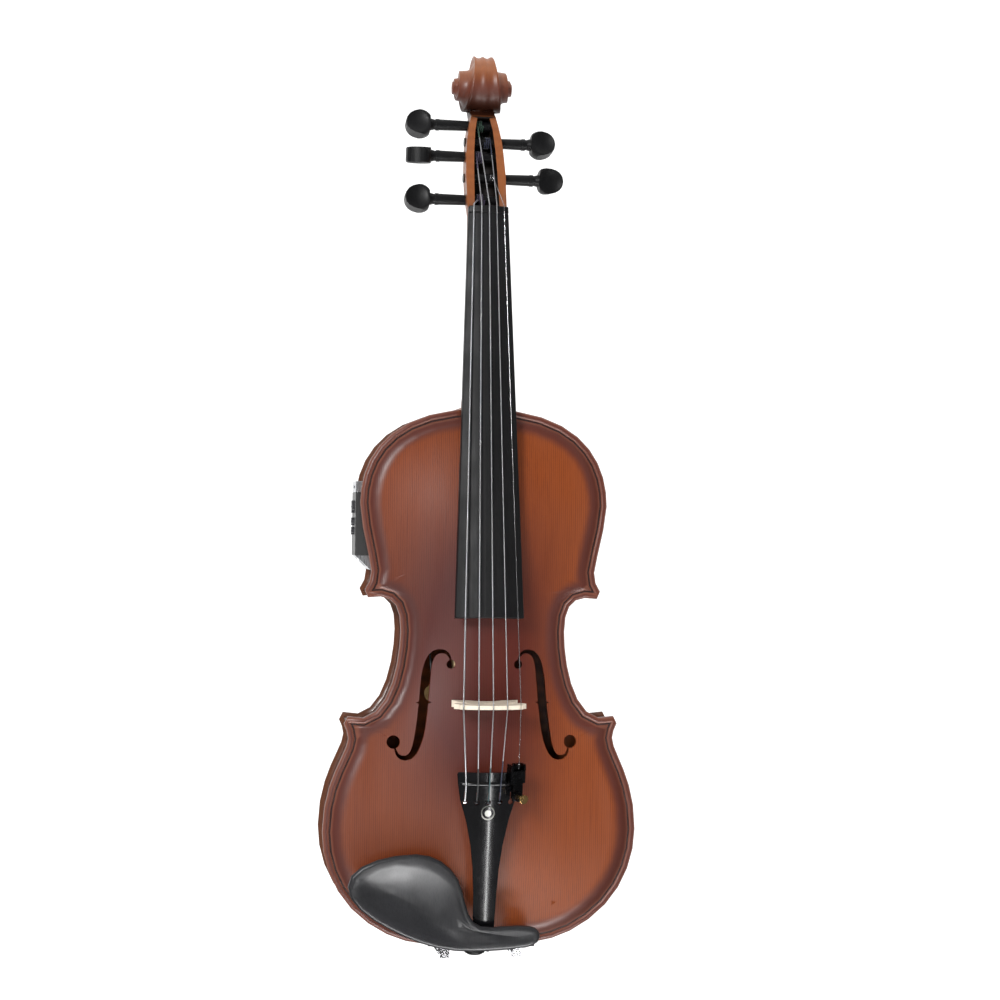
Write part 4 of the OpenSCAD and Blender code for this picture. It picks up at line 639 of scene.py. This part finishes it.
@dataclass
class Plate:
    """A carved plate: its packed form, made fine and laid on the true arch."""

    node: str
    finish: Finish
    slot: str
    arch: Arch
    joint_y: float
    outward: float
    crown_from: float = 5.3

    def height(self, co: Vector) -> float:
        """Height of a vertex over the joint with the ribs, in millimetres."""
        return ((co.y - RIM.y) / MM - self.joint_y) * self.outward

    def above_arch(self, co: Vector) -> float:
        """How far a vertex lies outside the true arch, in millimetres."""
        return self.height(co) - self.arch.swell(co.x / MM, (co.z - RIM.z) / MM)

    def arch_normal(self, co: Vector) -> Vector:
        """Outward normal of the true arch at a vertex."""
        x, z, step = co.x / MM, (co.z - RIM.z) / MM, 0.4
        across = (self.arch.swell(x + step, z) - self.arch.swell(x - step, z)) / (2 * step)
        along = (self.arch.swell(x, z + step) - self.arch.swell(x, z - step)) / (2 * step)
        return Vector((-across, self.outward, -along)).normalized()

    def rim_distance(self, bm: bmesh.types.BMesh) -> Callable[[Vector], float]:
        """Measures from the outline, which is the wall at the edge.

        Args:
            bm: The plate.

        Returns:
            A function of a point that gives its distance in millimetres.
        """
        wall = [e for e in bm.edges if all(abs(self.height(v.co) - 2.3) < 0.01 for v in e.verts)]
        points = [e.verts[0].co.lerp(e.verts[1].co, k / 12) for e in wall for k in range(12)]
        tree = kdtree.KDTree(len(points))
        for index, point in enumerate(points):
            tree.insert((point.x, 0.0, point.z), index)
        tree.balance()
        return lambda co: tree.find((co.x, 0.0, co.z))[2] / MM

    def build(self) -> bpy.types.Object:
        """Makes the plate."""
        bm = cad_copy(self.node)
        distance = self.rim_distance(bm)

        def crown(vert: bmesh.types.BMVert) -> bool:
            return abs(self.above_arch(vert.co)) < 0.75 and distance(vert.co) > self.crown_from - 0.2

        for longest in (0.016, 0.009, 0.006, 0.0045):
            over = {v for v in bm.verts if crown(v)}
            long_edges = [e for e in bm.edges if e.verts[0] in over and e.verts[1] in over and e.calc_length() > longest]
            bmesh.ops.subdivide_edges(bm, edges=long_edges, cuts=1, use_grid_fill=False)
            bmesh.ops.triangulate(bm, faces=[f for f in bm.faces if len(f.verts) > 3])
            over = {v for v in bm.verts if crown(v)}
            for v in over:
                if distance(v.co) > self.crown_from:
                    x, z = v.co.x / MM, (v.co.z - RIM.z) / MM
                    v.co.y = RIM.y + (self.joint_y + self.outward * self.arch.swell(x, z)) * MM
        piece = shaped(self.node + "_carved", bm, self.finish, 40.0)
        mesh = piece.data
        far = [distance(v.co) for v in mesh.vertices]
        mesh.attributes.new("edge", "FLOAT", "POINT").data.foreach_set("value", far)
        on_arch = [far[v.index] > self.crown_from and abs(self.above_arch(v.co)) < 0.02 for v in mesh.vertices]
        corners = [Vector(corner.vector) for corner in mesh.corner_normals]
        for face in mesh.polygons:
            if all(on_arch[index] for index in face.vertices):
                for loop, index in zip(face.loop_indices, face.vertices):
                    corners[loop] = self.arch_normal(mesh.vertices[index].co)
        mesh.normals_split_custom_set(corners)
        return placed(piece, "violin", self.slot, self.node)


@dataclass
class Body:
    """The sound box: plates, ribs, purfling and what is inside."""

    front: Plate = field(default_factory=lambda: Plate(
        "top_plate", Finish.SPRUCE, "spruce_front", Arch(15.5), 0.0, -1.0))
    back: Plate = field(default_factory=lambda: Plate(
        "back_plate", Finish.BACK, "maple", Arch(15.0), 31.0, 1.0))

    def build(self) -> None:
        """Makes and dresses every piece of the body."""
        self.front.build()
        self.back.build()
        for node in ("rib_upper_bass", "rib_upper_treble", "rib_middle_bass", "rib_middle_treble", "rib_lower"):
            placed(shaped(node + "_bent", cad_copy(node), Finish.RIBS, 30.0), "violin", "maple", node)
        for node in ("top_purfling", "back_purfling"):
            dress(node, Finish.PURFLING)
        for node in ("linings", "corner_blocks", "top_block", "end_block", "bass_bar", "sound_post"):
            dress(node, Finish.INNER)


def dress(node: str, finish: Finish) -> None:
    """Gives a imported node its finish.

    Args:
        node: Name of the node.
        finish: Its finish.
    """
    mesh = bpy.data.objects[node].data
    mesh.materials.clear()
    mesh.materials.append(finish.material())


def smooth_copy(node: str, finish: Finish, body: str, slot: str, sharp: float = 35.0, round_by: float = 0.0) -> bpy.types.Object:
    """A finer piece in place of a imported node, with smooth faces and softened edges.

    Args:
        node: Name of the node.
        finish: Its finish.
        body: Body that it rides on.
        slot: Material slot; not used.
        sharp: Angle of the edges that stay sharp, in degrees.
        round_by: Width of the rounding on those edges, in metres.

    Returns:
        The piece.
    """
    bm = cad_copy(node)
    if round_by:
        bmesh.ops.dissolve_limit(bm, angle_limit=math.radians(1.0), verts=bm.verts, edges=bm.edges)
    piece = shaped(node + "_finished", bm, finish, sharp)
    if round_by:
        softened(piece, round_by, 2, sharp - 3)
    return placed(piece, body, slot, node)


@dataclass
class Neck:
    """Neck, scroll, fingerboard and nut."""

    cavity: tuple[tuple[float, float], ...] = ((491.5, 8.4), (515.0, 7.9), (531.0, 7.3), (546.0, 6.0), (556.0, 4.2))

    def in_pegbox(self, face: bpy.types.MeshPolygon) -> bool:
        """Whether a face of the neck looks into the opening between the pegbox walls."""
        x, z, out = face.center.x / MM, (face.center.z - RIM.z) / MM, face.normal
        for (low, wide), (high, narrow) in zip(self.cavity, self.cavity[1:]):
            if low <= z <= high:
                half = wide + (narrow - wide) * (z - low) / (high - low)
                return abs(x) <= half + 0.15 and (out.y < -0.3 or out.x * x < 0 or abs(out.z) > 0.7)
        return False

    def build(self) -> None:
        """Makes and dresses the pieces."""
        neck = smooth_copy("neck_and_scroll", Finish.NECK, "violin", "maple_neck", 38.0)
        within = [float(self.in_pegbox(face)) for face in neck.data.polygons]
        neck.data.attributes.new("inside", "FLOAT", "FACE").data.foreach_set("value", within)
        smooth_copy("fingerboard", Finish.BOARD, "violin", "fingerboard_black", 32.0, 0.0006)
        smooth_copy("nut", Finish.EBONY, "violin", "ebony_black", 32.0, 0.0005)


def at_height(line: Sequence[Vector], z: float) -> Vector:
    """The point of a rising line at a height."""
    for low, high in zip(line, line[1:]):
        if low.z <= z <= high.z:
            return low.lerp(high, (z - low.z) / (high.z - low.z))
    return line[-1]


@dataclass(frozen=True)
class StringRun:
    """One string, from its end at the tailpiece to its coil on the peg, in millimetres.

    The route rises all the way. The coil starts where the route ends, at the front of the
    peg, and walks away from the peg's head.
    """

    number: int
    gauge: float
    route: tuple[tuple[float, float, float], ...]
    peg_y: float
    peg_z: float
    coil: float
    pitch: float
    side: int
    peg_silk: Finish
    tail_silk: Finish | None = None
    silk_to: float = 122.0

    def sleeve(self, name: str, line: Sequence[Vector], low: float, high: float, silk: Finish) -> None:
        """Covers a stretch of the string with silk.

        Args:
            name: Name of the piece.
            line: The string's centre line.
            low: Height of the stretch's lower end, in metres.
            high: Height of its upper end, in metres.
            silk: Finish of the thread.
        """
        part = [at_height(line, low)] + [p for p in line if low < p.z < high] + [at_height(line, high)]
        placed(tube(name, part, self.gauge * 0.56 * MM, silk, 4), "violin", "string_metal")

    def build(self) -> None:
        """Makes the string, its silk and its coil."""
        line = [luthier(*p) for p in self.route]
        metal = Finish.WOUND if self.number < 5 else Finish.PLAIN
        placed(tube(f"string_{self.number}_run", line, self.gauge * 0.505 * MM, metal, 4),
               "violin", "string_metal", f"string_{self.number}")
        if self.number < 5:
            rim = [(0.0, -1.3), (1.1, -1.3), (1.5, -0.9), (1.5, 0.9), (1.1, 1.3), (0.0, 1.3)]
            ball = lathe([(r * MM, a * MM) for r, a in rim], line[0] + Vector((0, 0.8, -0.4)) * MM, Vector((1, 0, 0)), 24)
            placed(shaped(f"string_{self.number}_ball", ball, Finish.PLAIN if self.number == 1 else Finish.BLACKED),
                   "violin", "string_metal")
        if self.tail_silk:
            self.sleeve(f"string_{self.number}_tail_silk", line, line[0].z, luthier(0, 0, self.silk_to).z, self.tail_silk)
        if self.number < 5:
            silk_from = max(luthier(0, 0, 493.5).z, line[-1].z - 9 * MM)
            self.sleeve(f"string_{self.number}_peg_silk", line, silk_from, line[-1].z, self.peg_silk)
        start_x = abs(self.route[-1][0])
        turns = [2 * math.pi * 3 * k / 108 for k in range(109)]
        coil = [luthier(self.side * (start_x - self.pitch * a / (2 * math.pi)), self.peg_y - self.coil * math.cos(a),
                        self.peg_z + self.coil * math.sin(a)) for a in turns]
        coil.insert(0, coil[0] - Vector((0, 0, 0.5 * MM)))
        placed(tube(f"string_{self.number}_coil", coil, self.gauge * 0.505 * MM, self.peg_silk, 3),
               f"peg_{self.number}", "string_metal", f"string_winding_{self.number}")


STRINGS = (
    StringRun(1, 1.1, ((-15.04, -29.75, 98.9), (-15.04, -32.5, 103.5), (-15.04, -34.89, 110.5), (-18.8, -43.72, 160.0),
                       (-18.8, -43.72, 162.0), (-10.2, -4.08, 487.11), (-10.2, -3.59, 491.99), (-5.6, 10.91, 496.7)),
              16.226, 497.2, 3.913, 1.65, -1, Finish.SILK_VIOLET),
    StringRun(2, 0.9, ((-7.52, -31.66, 98.9), (-7.52, -34.31, 103.5), (-7.52, -36.7, 110.5), (-9.4, -46.99, 160.0),
                       (-9.4, -46.99, 162.0), (-5.1, -4.92, 487.19), (-5.1, -4.44, 491.97), (-5.2, 20.89, 527.5)),
              25.898, 528.0, 3.807, 1.45, -1, Finish.SILK_VIOLET, Finish.SILK_BLACK, 121.0),
    StringRun(3, 0.8, ((0.0, -32.28, 98.9), (0.0, -34.88, 103.5), (0.0, -37.27, 110.5), (0.0, -48.01, 160.0),
                       (0.0, -48.01, 162.0), (0.0, -5.18, 487.22), (0.0, -4.71, 491.95), (-3.7, 27.36, 549.8)),
              32.19, 550.3, 3.732, 1.35, -1, Finish.SILK_GREEN, Finish.SILK_TEAL, 121.5),
    StringRun(4, 0.7, ((7.52, -31.66, 98.9), (7.52, -34.21, 103.5), (7.52, -36.6, 110.5), (9.4, -46.89, 160.0),
                       (9.4, -46.89, 162.0), (5.1, -4.82, 487.18), (5.1, -4.35, 491.86), (4.9, 24.43, 538.0)),
              29.131, 538.5, 3.702, 1.25, 1, Finish.SILK_BLUE, Finish.SILK_BLUE, 126.0),
    StringRun(5, 0.4, ((18.49, -40.09, 120.77), (18.49, -40.49, 122.37), (18.8, -43.37, 160.0), (18.8, -43.37, 162.0),
                       (10.2, -3.73, 487.07), (10.2, -3.28, 491.6), (6.2, 16.65, 512.3)),
              20.927, 512.8, 3.573, 0.95, 1, Finish.PLAIN),
)


@dataclass
class Pegs:
    """The five tuning pegs."""

    def build(self) -> None:
        """Makes the pegs."""
        for number in range(1, 6):
            smooth_copy(f"peg_{number}", Finish.EBONY, f"peg_{number}", "ebony_black", 30.0, 0.0004)


@dataclass
class Fittings:
    """Bridge, saddle, tailpiece, fine tuner, end button, strings and chin rest."""

    tail_top: float = 118.0
    tail_slope: float = 0.155
    tail_round: float = 46.0

    def tailpiece(self) -> None:
        """Shades the tailpiece's face with the normals of its true round, and gives it the dot of the eye."""
        piece = smooth_copy("tailpiece", Finish.EYED, "violin", "ebony_gloss", 40.0)
        mesh = piece.data

        def over(co: Vector) -> float:
            x, y, z = (co - RIM) / MM
            sag = self.tail_round - math.sqrt(self.tail_round ** 2 - x * x)
            return y - (-36.5 + (self.tail_top - z) * self.tail_slope + sag)

        on_face = [abs(over(v.co)) < 0.35 for v in mesh.vertices]
        corners = [Vector(corner.vector) for corner in mesh.corner_normals]
        for face in mesh.polygons:
            if all(on_face[index] for index in face.vertices) and face.normal.y < -0.8:
                for loop, index in zip(face.loop_indices, face.vertices):
                    x = mesh.vertices[index].co.x / MM
                    lean = x / math.sqrt(self.tail_round ** 2 - x * x)
                    corners[loop] = Vector((lean, -1.0, -self.tail_slope)).normalized()
        mesh.normals_split_custom_set(corners)

    def build(self) -> None:
        """Makes and dresses the pieces."""
        smooth_copy("bridge", Finish.BRIDGE, "violin", "pale_maple", 32.0, 0.0003)
        smooth_copy("saddle", Finish.EBONY, "violin", "ebony_black", 32.0, 0.0004)
        self.tailpiece()
        dress("tailpiece_inlay", Finish.INLAY)
        half = [(4.0, -17.28, 22.0), (4.0, -17.28, 12.4), (4.5, -10.7, 2.2), (4.8, -9.85, -0.9), (5.0, -7.1, -2.6),
                (6.1, -2.5, -3.6), (6.1, 12.5, -3.6)]
        loop = [(6.1 * math.cos(a), 15.5 + 6.1 * math.sin(a), -3.6) for a in (math.pi * k / 16 for k in range(17))]
        gut = half + loop + [(-x, y, z) for x, y, z in reversed(half)]
        placed(tube("tail_gut_loop", [luthier(*p) for p in gut], 0.96 * MM, Finish.CORD, 4),
               "violin", "black_cord", "tail_gut")
        smooth_copy("end_button", Finish.EBONY, "violin", "ebony_black", 40.0)
        for string in STRINGS:
            string.build()
        smooth_copy("tuner_body", Finish.BLACKED, "violin", "black_metal", 30.0, 0.00025)
        smooth_copy("tuner_lever", Finish.BLACKED, "tuner_lever", "black_metal", 30.0, 0.0002)
        dress("tuner_screw_shank", Finish.GOLD)
        smooth_copy("tuner_screw_head", Finish.GOLD, "tuner_head", "gold_metal", 30.0, 0.0002)
        smooth_copy("chin_rest", Finish.CHIN, "violin", "ebony_gloss", 50.0)
        for node in ("chin_rest_cork", "clamp_foot_cork"):
            dress(node, Finish.CORK)
        smooth_copy("clamp_studs", Finish.SILVER, "violin", "clamp_metal", 30.0, 0.0002)
        smooth_copy("clamp_barrel_bass", Finish.SILVER, "barrel_bass", "clamp_metal", 30.0, 0.0002)
        smooth_copy("clamp_barrel_treble", Finish.SILVER, "barrel_treble", "clamp_metal", 30.0, 0.0002)
        smooth_copy("clamp_foot", Finish.SILVER, "clamp_foot", "clamp_metal", 30.0, 0.0003)


@dataclass
class Preamp:
    """The panel on the upper bass rib and what is behind it."""

    def build(self) -> None:
        """Makes and dresses the pieces."""
        smooth_copy("preamp_panel", Finish.PANEL, "violin", "panel_plastic", 30.0, 0.0003)
        dress("preamp_housing", Finish.PANEL)
        for knob in ("volume_knob", "bass_knob", "treble_knob"):
            smooth_copy(knob, Finish.KNOB, knob, "knob_plastic", 30.0, 0.0002)
        smooth_copy("battery_drawer", Finish.SATIN, "battery_drawer", "end_piece_metal", 30.0, 0.0003)
        smooth_copy("jack_socket", Finish.SATIN, "violin", "end_piece_metal", 30.0, 0.0003)
        dress("coin_cell", Finish.SILVER)
        dress("piezo_pickup", Finish.DULL_BRASS)
        route = ((-33.0, -2.81, 169.0), (-34.0, -2.0, 179.0), (-35.0, 4.0, 197.0), (-42.0, 9.0, 222.0), (-50.0, 12.0, 249.4),
                 (-54.0, 13.0, 263.4), (-58.0, 14.0, 270.4), (-62.45, 14.0, 272.4))
        placed(tube("pickup_lead_run", [luthier(*p) for p in route], 0.81 * MM, Finish.CORD),
               "violin", "black_cord", "pickup_lead")


# --------------------------------------------------------------------------- the studio


@dataclass
class Studio:
    """Camera, lights and a pale floor that rises into a backdrop."""

    eye: tuple[float, float, float] = (-0.230177, -1.427012, -0.279193)
    right: tuple[float, float, float] = (0.98548363, -0.16922497, 0.01359865)
    ahead: tuple[float, float, float] = (0.16907222, 0.98553422, 0.01169973)
    up: tuple[float, float, float] = (-0.01538182, -0.00923074, 0.99983908)
    lens: float = 76.883
    floor_z: float = -0.575

    def camera(self) -> None:
        """Stands the camera where the photograph was taken from."""
        data = bpy.data.cameras.new("view")
        data.lens, data.sensor_width, data.clip_start = self.lens, 36.0, 0.01
        camera = bpy.data.objects.new("view", data)
        rows = zip(self.right, self.up, [-a for a in self.ahead], self.eye)
        camera.matrix_world = Matrix([list(row) for row in rows] + [[0, 0, 0, 1]])
        bpy.context.scene.collection.objects.link(camera)
        bpy.context.scene.camera = camera

    def light(self, name: str, place: tuple[float, float, float], size: float, power: float,
              target: tuple[float, float, float] = (0.0, 0.0, -0.3), tall: float = 0.0) -> bpy.types.Object:
        """Hangs one soft light.

        Args:
            name: Name of the light.
            place: Where it hangs.
            size: Side of its square, in metres, or width of an oblong.
            power: Power in watts.
            target: Point that it faces.
            tall: Height of an oblong, or 0 for a square.

        Returns:
            The light.
        """
        data = bpy.data.lights.new(name, "AREA")
        data.size, data.energy = size, power
        if tall:
            data.shape, data.size_y = "RECTANGLE", tall
        lamp = bpy.data.objects.new(name, data)
        lamp.location = place
        lamp.rotation_euler = (Vector(target) - Vector(place)).to_track_quat("-Z", "Y").to_euler()
        bpy.context.scene.collection.objects.link(lamp)
        return lamp

    def paper(self, name: str, line: Sequence[tuple[float, float]]) -> bpy.types.Object:
        """Spreads white paper across the studio.

        Args:
            name: Name of the sheet.
            line: Pairs of Y and Z that its section runs through.

        Returns:
            The sheet.
        """
        bm = bmesh.new()
        ring = [bm.verts.new((-4.0, *point)) for point in line]
        edges = [bm.edges.new(pair) for pair in zip(ring, ring[1:])]
        grown = bmesh.ops.extrude_edge_only(bm, edges=edges)
        moved = [v for v in grown["geom"] if isinstance(v, bmesh.types.BMVert)]
        bmesh.ops.translate(bm, verts=moved, vec=(8.0, 0, 0))
        mesh = bpy.data.meshes.new(name)
        bm.to_mesh(mesh)
        bm.free()
        mesh.polygons.foreach_set("use_smooth", [True] * len(mesh.polygons))
        skin = Recipe("white_paper")
        skin.set(Base_Color=(0.25, 0.25, 0.25), Roughness=0.9, Emission_Color=(1.0, 1.0, 1.0), Emission_Strength=1.0)
        mesh.materials.append(skin.material)
        sheet = bpy.data.objects.new(name, mesh)
        bpy.context.scene.collection.objects.link(sheet)
        return sheet

    def build(self) -> None:
        """Sets up the studio."""
        self.camera()
        sweep = [(0.15, self.floor_z), (0.9, self.floor_z)]
        sweep += [(0.9 + 0.8 * math.sin(a), self.floor_z + 0.8 * (1 - math.cos(a)))
                  for a in (math.pi * k / 24 for k in range(1, 13))]
        self.paper("backdrop", sweep + [(1.7, 3.0)])
        front = self.paper("front_floor", [(-3.0, self.floor_z), (0.15, self.floor_z)])
        front.visible_glossy = front.visible_shadow = False
        scene = bpy.context.scene
        scene.view_settings.view_transform = "Standard"
        world = bpy.data.worlds.new("studio")
        world.use_nodes = True
        world.node_tree.nodes["Background"].inputs[0].default_value = (1, 1, 1, 1)
        world.node_tree.nodes["Background"].inputs[1].default_value = 0.12
        scene.world = world
        self.light("key", (-1.1, -1.85, 0.5), 0.6, 38.0)
        self.light("fill", (1.7, -0.9, 0.5), 1.2, 12.0).visible_glossy = False
        self.light("top", (0.2, 0.0, 1.3), 1.2, 8.0).visible_glossy = False
        self.light("low", (-0.15, -0.5, -0.56), 0.3, 1.2, (-0.05, 0.0, -0.5)).visible_glossy = False
        self.light("glint", (0.26, -1.2, -1.04), 0.05, 1.6, (0.0, -0.06, -0.48), 0.4).visible_diffuse = False
        self.light("glow", (0.0, -0.5, -1.15), 0.9, 10.0, (-0.04, -0.06, -0.5), 0.25).visible_diffuse = False
        self.light("wall", (0.0, 0.4, 0.9), 1.8, 10.0, (0.0, 1.6, 0.0))


def main() -> None:
    """Builds the instrument from the body outward, then the studio."""
    logging.basicConfig(level=logging.INFO)
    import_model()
    for assembly in (Body(), Neck(), Pegs(), Fittings(), Preamp(), Studio()):
        assembly.build()
        LOG.info("%s done", type(assembly).__name__)


if __name__ == "__main__":
    main()
